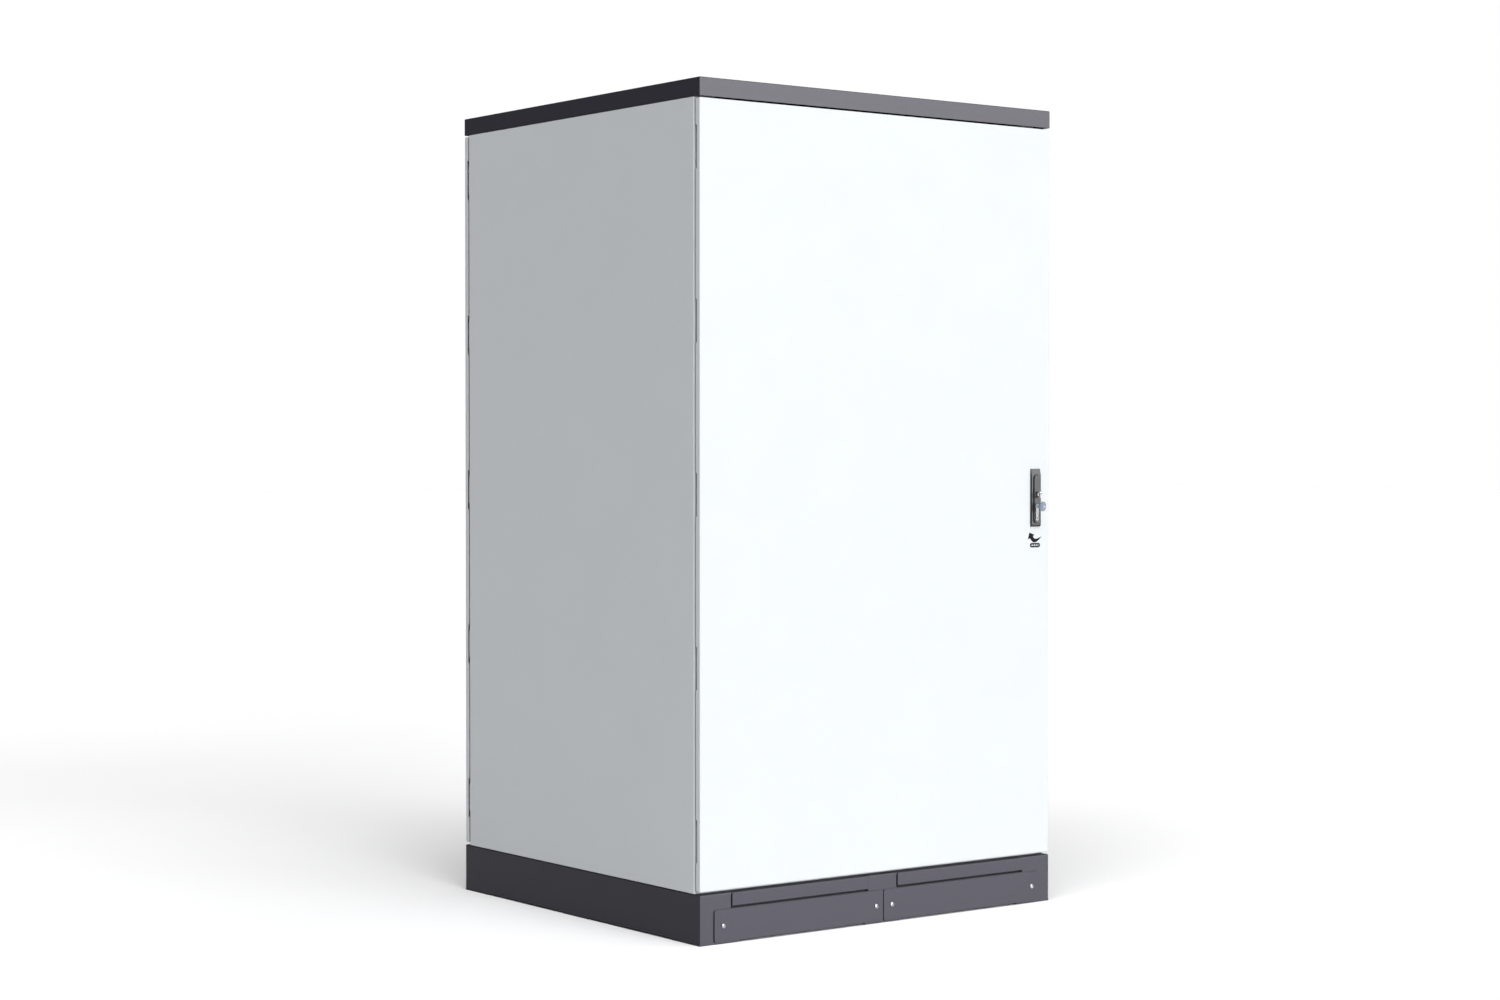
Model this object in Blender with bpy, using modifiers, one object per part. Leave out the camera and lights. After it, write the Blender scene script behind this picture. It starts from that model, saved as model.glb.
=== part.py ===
"""Industrial switchboard cabinet with a front and a rear door, on a plinth, built in Blender.

Metres, +Z up. The origin is on the floor at the middle of the footprint, and the front door faces -Y.
Both doors hang on the left side, at -X. Each door's parts are placed by `side`, -1 for the front and
+1 for the rear, and by their depth, measured inwards from that door's outer face.
"""

import math

import bmesh
import bpy
from mathutils import Matrix, Vector

# ---- overall size ----
WIDTH = 1.094
DEPTH = 1.038
HEIGHT = 2.000
HALF_WIDTH = WIDTH / 2
HALF_DEPTH = DEPTH / 2
PLINTH_TOP = 0.118
ROOF_BOTTOM = 1.957
GAP = 0.0003  # what touching pieces keep between them

FRONT, REAR = -1, 1
LEFT, RIGHT = -1, 1

# ---- doors ----
DOOR_INSET = 0.001
DOOR_HALF_WIDTH = HALF_WIDTH - DOOR_INSET
DOOR_BOTTOM = 0.1245
DOOR_TOP = 1.953
DOOR_FLANGE = 0.0163
DOOR_SHEET = 0.002
DOOR_RECESS = 0.0222  # from the door's face to the side panel's edge
HINGE_SETBACK = 0.009  # of the hinge axis from the door's face and from its side
HINGE_X = -DOOR_HALF_WIDTH + HINGE_SETBACK
HINGE_HEIGHTS = [1.041 + 0.4 * step for step in range(-2, 3)]
HINGE_NOTCH_HEIGHT = 0.100
HINGE_NOTCH_DEPTH = 0.0040
PIN_RADIUS = 0.0028
SLEEVE_RADIUS = 0.0048
SLEEVE_CLEARANCE = 0.0003
SLEEVE_HALF = 0.018  # half the length of a door's hinge sleeve
KNUCKLE_LENGTH = 0.016
GASKET_WIDTH = 0.015
GASKET_DEPTH = 0.0120

# ---- frame ----
POST_OUTER = 0.528
POST_INNER = 0.488
POST_FACE = 0.494  # |y| of the frame's front and rear faces
POST_BACK = 0.454
POST_WALL = 0.002
LIP_OUTER = 0.520  # the raised sealing lip round each door opening
LIP_INNER = 0.512
LIP_FACE = 0.5065
LIP_TOP = 1.928
LIP_TOP_INNER = 1.920
LIP_BOTTOM = 0.1495
LIP_BOTTOM_INNER = 0.1575
BASE_FRAME_TOP = 0.1597
TOP_FRAME_BOTTOM = 1.9103
FRAME_WALL = 0.003

# ---- side panels, roof and plinth ----
PANEL_SHEET = 0.0015
PANEL_DEPTH = 0.0175
ROOF_SHEET = 0.002
PLINTH_SHEET = 0.003
PLINTH_FLANGE = 0.045
FOOT_LENGTH = 0.110
FOOT_WIDTH = 0.045
FOOT_THICKNESS = 0.005
COVER_SHEET = 0.003
COVER_OUTER = 0.507
COVER_INNER = 0.001
COVER_TOP = 0.080
COVER_BOTTOM = 0.0045
LOUVRE_OUTER = 0.4555
LOUVRE_INNER = 0.045
LOUVRE_TOP = 0.1172
LOUVRE_PROUD = 0.003
SLOT_BOTTOM = 0.081  # the air slot under a louvre
SLOT_TOP = 0.0855
WINDOW_BOTTOM = 0.022  # the cable window behind a cover
WINDOW_TOP = 0.070

# ---- handle and rod lock ----
HANDLE_X = 0.497
HUB_Z = 1.070
HOUSING_HALF_WIDTH = 0.0155
HOUSING_BOTTOM = 0.951
HOUSING_TOP = 1.0965
HOUSING_PROUD = 0.0062
LEVER_HALF_WIDTH = 0.0088
LEVER_BOTTOM = 0.960
LEVER_TOP = 1.081
LEVER_BACK = 0.0065  # how far in front of the door the lever's back is
LEVER_FACE = 0.0090
LIFT_DEPTH = -0.0078  # the axis on which the lever lifts
LIFT_Z = LEVER_TOP - 0.0005
CYLINDER_Z = 1.002  # the key's axis
CYLINDER_BOTTOM = 0.9655
CYLINDER_RADIUS = 0.006
CYLINDER_FACE = 0.0100
EYE_Z = 1.032
EYE_CENTRE = 0.0170  # of the padlock eye, in front of the door
EYE_RADIUS = 0.0082
BOW_CENTRE = 0.0288  # of the key's bow, in front of the door
BOW_RADIUS = 0.0120
SPINDLE_RADIUS = 0.0055
GEAR_MODULE = 0.0015
GEAR_TEETH = 12
GEAR_BACKLASH = 0.0005
PRESSURE_ANGLE = math.radians(20)
GEAR_FRONT = 0.0130  # depth of the rod lock behind the door's face
GEAR_BACK = 0.0175
ROD_TOP = 1.914
ROD_BOTTOM = 0.1635
GUIDE_HEIGHTS = (1.78, 0.30)

# ---- mounting plate and what it carries ----
PLATE_Y = -0.050  # the plate's front face
PLATE_SHEET = 0.003
PLATE_HALF_WIDTH = 0.500
PLATE_OPENINGS = ((0.185, 0.300), (1.805, 1.875))  # their heights
BAR_HEIGHTS = {"busbar_l1": 1.735, "busbar_l2": 1.680, "busbar_l3": 1.625, "neutral_bar": 1.570}
BAR_FRONT = 0.100  # distance of the bars' front edge from the plate
BAR_WIDTH = 0.030
BAR_THICKNESS = 0.010
BAR_HALF_LENGTH = 0.400
MAIN_BREAKER = {"body": (0.210, 0.280, 0.095), "nose": (0.150, 0.130, 0.022), "slot": (0.050, 0.075)}
FEEDER_BREAKER = {"body": (0.105, 0.165, 0.072), "nose": (0.075, 0.075, 0.014), "slot": (0.026, 0.046)}
TOGGLE_TILT = 17  # degrees above the breaker's normal at ON, and as far below it at OFF

CURVE_STEPS = 6  # straight steps in a quarter circle

PARTS = None
CUTTERS = None


# ---- materials ----


def material(name, colour, roughness, metallic=0.0):
    made = bpy.data.materials.new(name)
    made.use_nodes = True
    shader = made.node_tree.nodes["Principled BSDF"]
    shader.inputs["Base Color"].default_value = (*colour, 1.0)
    shader.inputs["Roughness"].default_value = roughness
    shader.inputs["Metallic"].default_value = metallic
    return made


def make_materials():
    return {
        "light_grey": material("light_grey_paint", (0.60, 0.62, 0.62), 0.45),
        "anthracite": material("anthracite_paint", (0.050, 0.050, 0.058), 0.5),
        "zinc": material("zinc_plated_steel", (0.55, 0.56, 0.58), 0.4, 0.9),
        "black_plastic": material("black_plastic", (0.025, 0.025, 0.028), 0.4),
        "chrome": material("chrome_plated_zinc", (0.75, 0.75, 0.76), 0.15, 1.0),
        "foam": material("black_foam_rubber", (0.02, 0.02, 0.02), 0.9),
        "plate": material("galvanised_plate", (0.62, 0.63, 0.64), 0.5, 0.6),
        "breaker": material("dark_grey_moulding", (0.09, 0.09, 0.10), 0.5),
        "toggle": material("black_toggle", (0.03, 0.03, 0.03), 0.4),
        "copper": material("copper", (0.72, 0.38, 0.22), 0.3, 1.0),
        "insulator": material("red_brown_insulator", (0.35, 0.06, 0.04), 0.5),
        "duct": material("grey_pvc", (0.45, 0.46, 0.47), 0.6),
        "terminal": material("beige_terminal", (0.55, 0.53, 0.47), 0.6),
        "pocket": material("light_grey_plastic", (0.58, 0.60, 0.60), 0.5),
    }


# ---- outlines, as lists of two-number points ----


def rectangle(u0, u1, v0, v1):
    return [(u0, v0), (u1, v0), (u1, v1), (u0, v1)]


def arc(centre_u, centre_v, radius, start, end, steps=CURVE_STEPS):
    """Points from angle start to angle end, in degrees, both ends included."""
    angles = [math.radians(start + (end - start) * i / steps) for i in range(steps + 1)]
    return [(centre_u + radius * math.cos(a), centre_v + radius * math.sin(a)) for a in angles]


def circle(centre_u, centre_v, radius, steps=4 * CURVE_STEPS):
    return arc(centre_u, centre_v, radius, 0, 360, steps)[:-1]


def rounded_rectangle(u0, u1, v0, v1, radius, steps=CURVE_STEPS):
    return (
        arc(u1 - radius, v1 - radius, radius, 0, 90, steps)
        + arc(u0 + radius, v1 - radius, radius, 90, 180, steps)
        + arc(u0 + radius, v0 + radius, radius, 180, 270, steps)
        + arc(u1 - radius, v0 + radius, radius, 270, 360, steps)
    )


def stadium(centre_u, radius, v0, v1, steps=CURVE_STEPS):
    """A slot shape with round ends, upright, from v0 to v1."""
    top = arc(centre_u, v1 - radius, radius, 0, 180, 2 * steps)
    return top + arc(centre_u, v0 + radius, radius, 180, 360, 2 * steps)


# ---- solids ----


def add_object(name, mesh, finish, collection=None):
    mesh.shade_smooth()
    mesh.set_sharp_from_angle(angle=math.radians(30))
    made = bpy.data.objects.new(name, mesh)
    (collection or PARTS).objects.link(made)
    if finish:
        made.data.materials.append(finish)
    return made


def box(name, xs, ys, zs, finish=None, collection=None):
    """A box between two x, two y and two z values, given in either order."""
    return boxes(name, [(xs, ys, zs)], finish, collection)


def boxes(name, spans, finish=None, collection=None):
    shape = bmesh.new()
    for xs, ys, zs in spans:
        low = Vector((min(xs), min(ys), min(zs)))
        high = Vector((max(xs), max(ys), max(zs)))
        place = Matrix.Translation((low + high) / 2) @ Matrix.Diagonal((*(high - low), 1.0))
        bmesh.ops.create_cube(shape, size=1.0, matrix=place)
    mesh = bpy.data.meshes.new(name)
    shape.to_mesh(mesh)
    shape.free()
    return add_object(name, mesh, finish, collection)


TURN_TO_AXIS = {
    "X": Matrix(((0, 0, 1), (1, 0, 0), (0, 1, 0))),
    "Y": Matrix(((1, 0, 0), (0, 0, -1), (0, 1, 0))),
    "Z": Matrix.Identity(3),
}


def plate(name, outlines, axis, ends, finish=None, collection=None):
    """Outlines filled, with inner ones as holes, and extruded along axis between its two end values.

    The outlines' points are (y, z) along X, (x, z) along Y and (x, y) along Z.
    """
    curve = bpy.data.curves.new(name, "CURVE")
    curve.dimensions = "2D"
    curve.fill_mode = "BOTH"
    curve.extrude = abs(ends[1] - ends[0]) / 2
    for outline in outlines:
        spline = curve.splines.new("POLY")
        spline.points.add(len(outline) - 1)
        for point, (u, v) in zip(spline.points, outline):
            point.co = (u, v, 0.0, 1.0)
        spline.use_cyclic_u = True
    flat = bpy.data.objects.new(name + "_outline", curve)
    bpy.context.scene.collection.objects.link(flat)
    middle = (ends[0] + ends[1]) / 2
    offset = {"X": (middle, 0, 0), "Y": (0, middle, 0), "Z": (0, 0, middle)}[axis]
    flat.matrix_world = Matrix.Translation(offset) @ TURN_TO_AXIS[axis].to_4x4()
    mesh = mesh_of(flat, name)
    bpy.data.objects.remove(flat)
    return add_object(name, mesh, finish, collection)


def mesh_of(source, name):
    """The evaluated shape of an object as a closed mesh in world space."""
    bpy.context.view_layer.update()
    graph = bpy.context.evaluated_depsgraph_get()
    mesh = bpy.data.meshes.new_from_object(source.evaluated_get(graph), depsgraph=graph)
    mesh.transform(source.matrix_world)
    mesh.name = name
    mesh.materials.clear()
    shape = bmesh.new()
    shape.from_mesh(mesh)
    bmesh.ops.remove_doubles(shape, verts=shape.verts, dist=1e-6)
    bmesh.ops.recalc_face_normals(shape, faces=shape.faces)
    shape.to_mesh(mesh)
    shape.free()
    return mesh


def open_tray(name, xs, ys, zs, open_side, sheet, finish):
    """A box of sheet metal, open on one side: five faces with Solidify, grown inwards."""
    made = box(name, xs, ys, zs, finish)
    shape = bmesh.new()
    shape.from_mesh(made.data)
    facing = Vector(open_side)
    lids = [face for face in shape.faces if face.normal.dot(facing) > 0.9]
    bmesh.ops.delete(shape, geom=lids, context="FACES_ONLY")
    shape.to_mesh(made.data)
    shape.free()
    thicken = made.modifiers.new("sheet", "SOLIDIFY")
    thicken.thickness = sheet
    thicken.offset = -1
    thicken.use_even_offset = True
    return made


def combine(target, tool, operation):
    """A Boolean on target with tool, which becomes a hidden helper."""
    for owner in list(tool.users_collection):
        owner.objects.unlink(tool)
    CUTTERS.objects.link(tool)
    tool.hide_render = True
    tool.display_type = "WIRE"
    step = target.modifiers.new(tool.name, "BOOLEAN")
    step.operation = operation
    step.object = tool
    step.solver = "EXACT"
    return target


def cut(target, tool):
    return combine(target, tool, "DIFFERENCE")


def join(target, tool):
    return combine(target, tool, "UNION")


def y_at(side, depth):
    """The y of a plane `depth` inside the outer face of the door on that side."""
    return side * (HALF_DEPTH - depth)


def y_span(side, depth0, depth1):
    return (y_at(side, depth0), y_at(side, depth1))


SIDE_NAME = {FRONT: "front", REAR: "rear"}
HAND_NAME = {LEFT: "left", RIGHT: "right"}


# ---- plinth ----


def build_plinth(finish):
    """A sheet ring with an inner top flange, eight foot plates, cable windows and pressed louvres."""
    outer = rectangle(-HALF_WIDTH, HALF_WIDTH, -HALF_DEPTH, HALF_DEPTH)
    inner_x = HALF_WIDTH - PLINTH_SHEET
    inner_y = HALF_DEPTH - PLINTH_SHEET
    inner = rectangle(-inner_x, inner_x, -inner_y, inner_y)
    ring = plate("plinth_frame", [outer, inner], "Z", (FOOT_THICKNESS - 0.001, PLINTH_TOP), finish)
    flange_x = HALF_WIDTH - PLINTH_FLANGE
    flange_y = HALF_DEPTH - PLINTH_FLANGE
    edge_x = HALF_WIDTH - PLINTH_SHEET / 2
    edge_y = HALF_DEPTH - PLINTH_SHEET / 2
    flange = plate(
        "plinth_flange",
        [
            rectangle(-edge_x, edge_x, -edge_y, edge_y),
            rectangle(-flange_x, flange_x, -flange_y, flange_y),
        ],
        "Z",
        (PLINTH_TOP - PLINTH_SHEET, PLINTH_TOP),
    )
    join(ring, flange)
    for number, foot in enumerate(foot_spans()):
        join(ring, boxes(f"plinth_foot_{number}", [foot]))
    for side in (FRONT, REAR):
        name = SIDE_NAME[side]
        join(ring, boxes(f"plinth_louvres_{name}", louvre_spans(side)))
        through = (side * (HALF_DEPTH + 0.01), side * (HALF_DEPTH - 0.01))
        cut(ring, plate(f"plinth_slots_{name}", plinth_slots(), "Y", through))
    return ring


def foot_spans():
    """Four corner plates and four plates halfway along the sides."""
    height = (0.0, FOOT_THICKNESS)
    half = FOOT_LENGTH / 2
    spans = []
    for x in (LEFT, RIGHT):
        for y in (FRONT, REAR):
            xs = (x * HALF_WIDTH, x * (HALF_WIDTH - FOOT_LENGTH))
            spans.append((xs, (y * HALF_DEPTH, y * (HALF_DEPTH - FOOT_LENGTH)), height))
        spans.append(((x * HALF_WIDTH, x * (HALF_WIDTH - FOOT_WIDTH)), (-half, half), height))
    for y in (FRONT, REAR):
        spans.append(((-half, half), (y * HALF_DEPTH, y * (HALF_DEPTH - FOOT_WIDTH)), height))
    return spans


def louvre_spans(side):
    """The two fields of sheet pressed outwards above the covers."""
    outer_face = side * (HALF_DEPTH + LOUVRE_PROUD)
    inner_face = side * (HALF_DEPTH - PLINTH_SHEET / 2)
    return [
        ((hand * LOUVRE_INNER, hand * LOUVRE_OUTER), (outer_face, inner_face), (SLOT_TOP, LOUVRE_TOP))
        for hand in (LEFT, RIGHT)
    ]


def plinth_slots():
    """The air slot under each louvre, and the cable window behind each cover."""
    outlines = []
    for hand in (LEFT, RIGHT):
        outlines.append(rectangle(hand * LOUVRE_INNER, hand * LOUVRE_OUTER, SLOT_BOTTOM, SLOT_TOP))
        window_inner, window_outer = hand * (LOUVRE_INNER + 0.015), hand * (LOUVRE_OUTER - 0.015)
        outlines.append(rectangle(window_inner, window_outer, WINDOW_BOTTOM, WINDOW_TOP))
    return outlines


def build_plinth_cover(side, hand, finish):
    name = f"plinth_cover_{SIDE_NAME[side]}_{HAND_NAME[hand]}"
    outline = rounded_rectangle(
        *sorted((hand * COVER_INNER, hand * COVER_OUTER)), COVER_BOTTOM, COVER_TOP, 0.005, 3
    )
    return plate(name, [outline], "Y", y_span(side, -GAP, -GAP - COVER_SHEET), finish)


# ---- frame, panels and roof ----


def build_post(side, hand, finish):
    """A square tube with the sealing lip on its door face."""
    name = f"frame_post_{SIDE_NAME[side]}_{HAND_NAME[hand]}"
    outer = [
        (POST_INNER, POST_BACK),
        (POST_OUTER, POST_BACK),
        (POST_OUTER, POST_FACE),
        (LIP_OUTER, POST_FACE),
        (LIP_OUTER, LIP_FACE),
        (LIP_INNER, LIP_FACE),
        (LIP_INNER, POST_FACE),
        (POST_INNER, POST_FACE),
    ]
    bore = rectangle(
        POST_INNER + POST_WALL, POST_OUTER - POST_WALL, POST_BACK + POST_WALL, POST_FACE - POST_WALL
    )
    outlines = [[(hand * x, side * y) for x, y in points] for points in (outer, bore)]
    return plate(name, outlines, "Z", (BASE_FRAME_TOP + GAP, TOP_FRAME_BOTTOM - GAP), finish)


def channel_ring(name, bottom, top, finish):
    """A rectangle of C-channel, open towards the cabinet's inside."""
    rings = [
        rectangle(-POST_OUTER, POST_OUTER, -POST_FACE, POST_FACE),
        rectangle(-POST_INNER, POST_INNER, -POST_BACK, POST_BACK),
    ]
    ring = plate(name, rings, "Z", (bottom, top), finish)
    wall_x, wall_y = POST_OUTER - FRAME_WALL, POST_FACE - FRAME_WALL
    past_x, past_y = POST_INNER - 0.01, POST_BACK - 0.01
    groove = plate(
        name + "_groove",
        [rectangle(-wall_x, wall_x, -wall_y, wall_y), rectangle(-past_x, past_x, -past_y, past_y)],
        "Z",
        (bottom + FRAME_WALL, top - FRAME_WALL),
    )
    return cut(ring, groove)


def add_lips(frame, frame_edge, lip_inner, lip_outer):
    """The sealing lip across a door opening, with its ends turned towards the posts."""
    outline = [
        (-LIP_OUTER, frame_edge),
        (-LIP_OUTER, lip_outer),
        (LIP_OUTER, lip_outer),
        (LIP_OUTER, frame_edge),
        (LIP_INNER, frame_edge),
        (LIP_INNER, lip_inner),
        (-LIP_INNER, lip_inner),
        (-LIP_INNER, frame_edge),
    ]
    for side in (FRONT, REAR):
        ends = (side * (POST_FACE - FRAME_WALL / 2), side * LIP_FACE)
        join(frame, plate(f"{frame.name}_lip_{SIDE_NAME[side]}", [outline], "Y", ends))


def build_base_frame(finish):
    bottom = PLINTH_TOP + GAP
    frame = channel_ring("base_frame", bottom, BASE_FRAME_TOP, finish)
    ledge = plate(
        "base_ledge",
        [rectangle(-0.500, 0.500, -0.466, 0.466), rectangle(-0.455, 0.455, -0.420, 0.420)],
        "Z",
        (bottom, bottom + FRAME_WALL),
    )
    join(frame, ledge)
    add_lips(frame, BASE_FRAME_TOP, LIP_BOTTOM_INNER, LIP_BOTTOM)
    return frame


def build_top_frame(finish):
    """The upper channel ring, with four corner blocks that carry the roof."""
    top = ROOF_BOTTOM - 0.0005
    frame = channel_ring("top_frame", TOP_FRAME_BOTTOM, top, finish)
    add_lips(frame, TOP_FRAME_BOTTOM, LIP_TOP_INNER, LIP_TOP)
    block_height = (top - FRAME_WALL / 2, HEIGHT - ROOF_SHEET - GAP)
    for x in (LEFT, RIGHT):
        for y in (FRONT, REAR):
            span = ((x * 0.480, x * 0.520), (y * 0.446, y * 0.486), block_height)
            join(frame, boxes(f"roof_block_{x}_{y}", [span]))
    return frame


def build_side_panel(hand, finish):
    edge = HALF_DEPTH - DOOR_RECESS
    return open_tray(
        f"side_panel_{HAND_NAME[hand]}",
        (hand * HALF_WIDTH, hand * (HALF_WIDTH - PANEL_DEPTH)),
        (-edge, edge),
        (PLINTH_TOP + 0.0005, ROOF_BOTTOM - 0.0005),
        (-hand, 0, 0),
        PANEL_SHEET,
        finish,
    )


def build_roof(finish):
    return open_tray(
        "roof_cover",
        (-HALF_WIDTH, HALF_WIDTH),
        (-HALF_DEPTH, HALF_DEPTH),
        (ROOF_BOTTOM, HEIGHT),
        (0, 0, -1),
        ROOF_SHEET,
        finish,
    )


def build_gland_plate(finish):
    """The removable floor plate with its cable holes."""
    outline = rectangle(-0.485, 0.485, -0.451, 0.451)
    holes = [circle(x, y, 0.040, 16) for x in (-0.22, 0.22) for y in (-0.25, 0.20)]
    bottom = PLINTH_TOP + FRAME_WALL + 2 * GAP
    return plate("gland_plate", [outline, *holes], "Z", (bottom, bottom + 0.002), finish)


# ---- hinges ----


def build_hinge_carrier(side, finish):
    """The frame's half of the five hinges: a strip behind the lip's outer foot, knuckles and pins."""
    name = f"{SIDE_NAME[side]}_hinge_carrier"
    axis_y = y_at(side, HINGE_SETBACK)
    strip_face = HALF_DEPTH - DOOR_RECESS - 0.0005
    strip = [
        (-POST_OUTER + GAP, side * (POST_FACE + GAP)),
        (-LIP_OUTER - GAP, side * (POST_FACE + GAP)),
        (-LIP_OUTER - GAP, side * strip_face),
        (-POST_OUTER + GAP, side * strip_face),
    ]
    carrier = plate(name, [strip], "Z", (HINGE_HEIGHTS[0] - 0.05, HINGE_HEIGHTS[-1] + 0.05), finish)
    arm_left, arm_right, foot = -0.5275, -0.5245, side * (POST_FACE + 3 * GAP)
    arm = [
        (HINGE_X, axis_y - side * 0.0022),
        (arm_left, axis_y - side * 0.0022),
        (arm_left, foot),
        (arm_right, foot),
        (arm_right, axis_y + side * 0.0012),
        (HINGE_X, axis_y + side * 0.0012),
    ]
    for number, height in enumerate(HINGE_HEIGHTS):
        for end in (-1, 1):
            inner = height + end * (SLEEVE_HALF + GAP)
            outer = inner + end * KNUCKLE_LENGTH
            label = f"{name}_{number}_{'upper' if end > 0 else 'lower'}"
            join(carrier, plate(label + "_arm", [arm], "Z", sorted((inner, outer))))
            knuckle = circle(HINGE_X, axis_y, SLEEVE_RADIUS - 0.0001, 16)
            join(carrier, plate(label + "_knuckle", [knuckle], "Z", sorted((inner, outer))))
        reach = SLEEVE_HALF + KNUCKLE_LENGTH / 2
        pin = circle(HINGE_X, axis_y, PIN_RADIUS, 12)
        join(carrier, plate(f"{name}_{number}_pin", [pin], "Z", (height - reach, height + reach)))
    return carrier


def build_hinge_sleeves(side, finish):
    """The door's half of the five hinges: a strip on the inside of the door with five bored sleeves."""
    name = f"{SIDE_NAME[side]}_hinge_sleeves"
    axis_y = y_at(side, HINGE_SETBACK)
    near = y_at(side, DOOR_SHEET + GAP)
    far = y_at(side, DOOR_SHEET + GAP + 0.0016)
    strip = rectangle(HINGE_X - 0.0055, HINGE_X + 0.0115, *sorted((near, far)))
    sleeves = plate(name, [strip], "Z", (HINGE_HEIGHTS[0] - 0.05, HINGE_HEIGHTS[-1] + 0.05), finish)
    for number, height in enumerate(HINGE_HEIGHTS):
        ends = (height - SLEEVE_HALF, height + SLEEVE_HALF)
        web_y = sorted((y_at(side, DOOR_SHEET + 0.0010), axis_y))
        web = rectangle(HINGE_X - 0.0035, HINGE_X + 0.0035, *web_y)
        tube = circle(HINGE_X, axis_y, SLEEVE_RADIUS, 16)
        join(sleeves, plate(f"{name}_{number}_web", [web], "Z", ends))
        join(sleeves, plate(f"{name}_{number}_tube", [tube], "Z", ends))
        bore = circle(HINGE_X, axis_y, PIN_RADIUS + SLEEVE_CLEARANCE, 12)
        cut(sleeves, plate(f"{name}_{number}_bore", [bore], "Z", (ends[0] - 0.01, ends[1] + 0.01)))
    return sleeves


# ---- doors ----


def build_door(side, finish):
    """A tray of sheet steel, notched at the hinges and bored for the handle's spindle."""
    door = open_tray(
        f"{SIDE_NAME[side]}_door",
        (-DOOR_HALF_WIDTH, DOOR_HALF_WIDTH),
        y_span(side, 0, DOOR_FLANGE),
        (DOOR_BOTTOM, DOOR_TOP),
        (0, -side, 0),
        DOOR_SHEET,
        finish,
    )
    half = HINGE_NOTCH_HEIGHT / 2
    notch_x = (-DOOR_HALF_WIDTH - 0.01, -DOOR_HALF_WIDTH + DOOR_SHEET + 0.0005)
    notch_y = y_span(side, DOOR_FLANGE - HINGE_NOTCH_DEPTH, DOOR_FLANGE + 0.01)
    notches = [(notch_x, notch_y, (height - half, height + half)) for height in HINGE_HEIGHTS]
    cut(door, boxes(f"{door.name}_notches", notches))
    spindle_hole = circle(HANDLE_X, HUB_Z, SPINDLE_RADIUS + 0.0015, 16)
    cut(door, plate(f"{door.name}_spindle_hole", [spindle_hole], "Y", y_span(side, -0.01, 0.01)))
    return door


def build_gasket(side, finish):
    """The foamed seal on the inside of the door, which the frame's lip presses into."""
    half = GASKET_WIDTH / 2
    across = (LIP_OUTER + LIP_INNER) / 2
    low = (LIP_BOTTOM + LIP_BOTTOM_INNER) / 2
    high = (LIP_TOP + LIP_TOP_INNER) / 2
    outer = rounded_rectangle(-across - half, across + half, low - half, high + half, 0.012, 3)
    inner = rounded_rectangle(-across + half, across - half, low + half, high - half, 0.004, 3)
    ys = y_span(side, DOOR_SHEET + GAP, GASKET_DEPTH)
    return plate(f"{SIDE_NAME[side]}_door_gasket", [outer, inner], "Y", ys, finish)


def build_stiffener(side, finish):
    """A ring of hat channel on the inside of the door, with the two guides of the lock's rods."""
    name = f"{SIDE_NAME[side]}_door_stiffener"
    left, right, low, high, width, depth = -0.475, 0.465, 0.190, 1.885, 0.030, 0.016
    start = DOOR_SHEET + GAP
    ring = plate(
        name,
        [
            rectangle(left, right, low, high),
            rectangle(left + width, right - width, low + width, high - width),
        ],
        "Y",
        y_span(side, start, start + depth),
        finish,
    )
    wall = 0.002
    groove = plate(
        name + "_groove",
        [
            rectangle(left + wall, right - wall, low + wall, high - wall),
            rectangle(left + width - wall, right - width + wall, low + width - wall, high - width + wall),
        ],
        "Y",
        y_span(side, -0.01, start + depth - wall),
    )
    cut(ring, groove)
    for number, height in enumerate(GUIDE_HEIGHTS):
        zs = (height - 0.008, height + 0.008)
        body = rectangle(right - 0.001, 0.5078, *y_span(side, start + 0.0005, 0.0210))
        slot = rectangle(
            HANDLE_X - 0.0093, HANDLE_X + 0.0093, *y_span(side, GEAR_FRONT - 0.0005, GEAR_BACK + 0.0005)
        )
        join(ring, plate(f"{name}_guide_{number}", [body, slot], "Z", zs))
    return ring


def build_document_pocket(finish):
    """The drawing pocket on the inside of the front door, open at its top."""
    return open_tray(
        "document_pocket",
        (-0.160, 0.160),
        y_span(FRONT, DOOR_SHEET + GAP, 0.030),
        (0.860, 1.080),
        (0, 0, 1),
        0.002,
        finish,
    )


# ---- handle and rod lock ----


def involute(radius, base_radius):
    angle = math.acos(min(1.0, base_radius / radius))
    return math.tan(angle) - angle


def gear_outline(centre_u, centre_v):
    """A spur pinion whose tooth 0 points along +u, thinned by the backlash."""
    pitch_radius = GEAR_MODULE * GEAR_TEETH / 2
    base_radius = pitch_radius * math.cos(PRESSURE_ANGLE)
    thickness = (math.pi * GEAR_MODULE / 2 - GEAR_BACKLASH) / (2 * pitch_radius)
    root_radius = pitch_radius - 1.25 * GEAR_MODULE
    tip_radius = pitch_radius + 0.8 * GEAR_MODULE
    radii = [base_radius, (base_radius + pitch_radius) / 2, pitch_radius, tip_radius]
    at_base = thickness + involute(pitch_radius, base_radius)
    flank = [(root_radius, at_base)]
    flank += [(r, at_base - involute(r, base_radius)) for r in radii]
    points = []
    for tooth in range(GEAR_TEETH):
        middle = 2 * math.pi * tooth / GEAR_TEETH
        for radius, half in flank:
            points.append((radius, middle - half))
        for radius, half in reversed(flank):
            points.append((radius, middle + half))
    return [(centre_u + r * math.cos(a), centre_v + r * math.sin(a)) for r, a in points]


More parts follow.
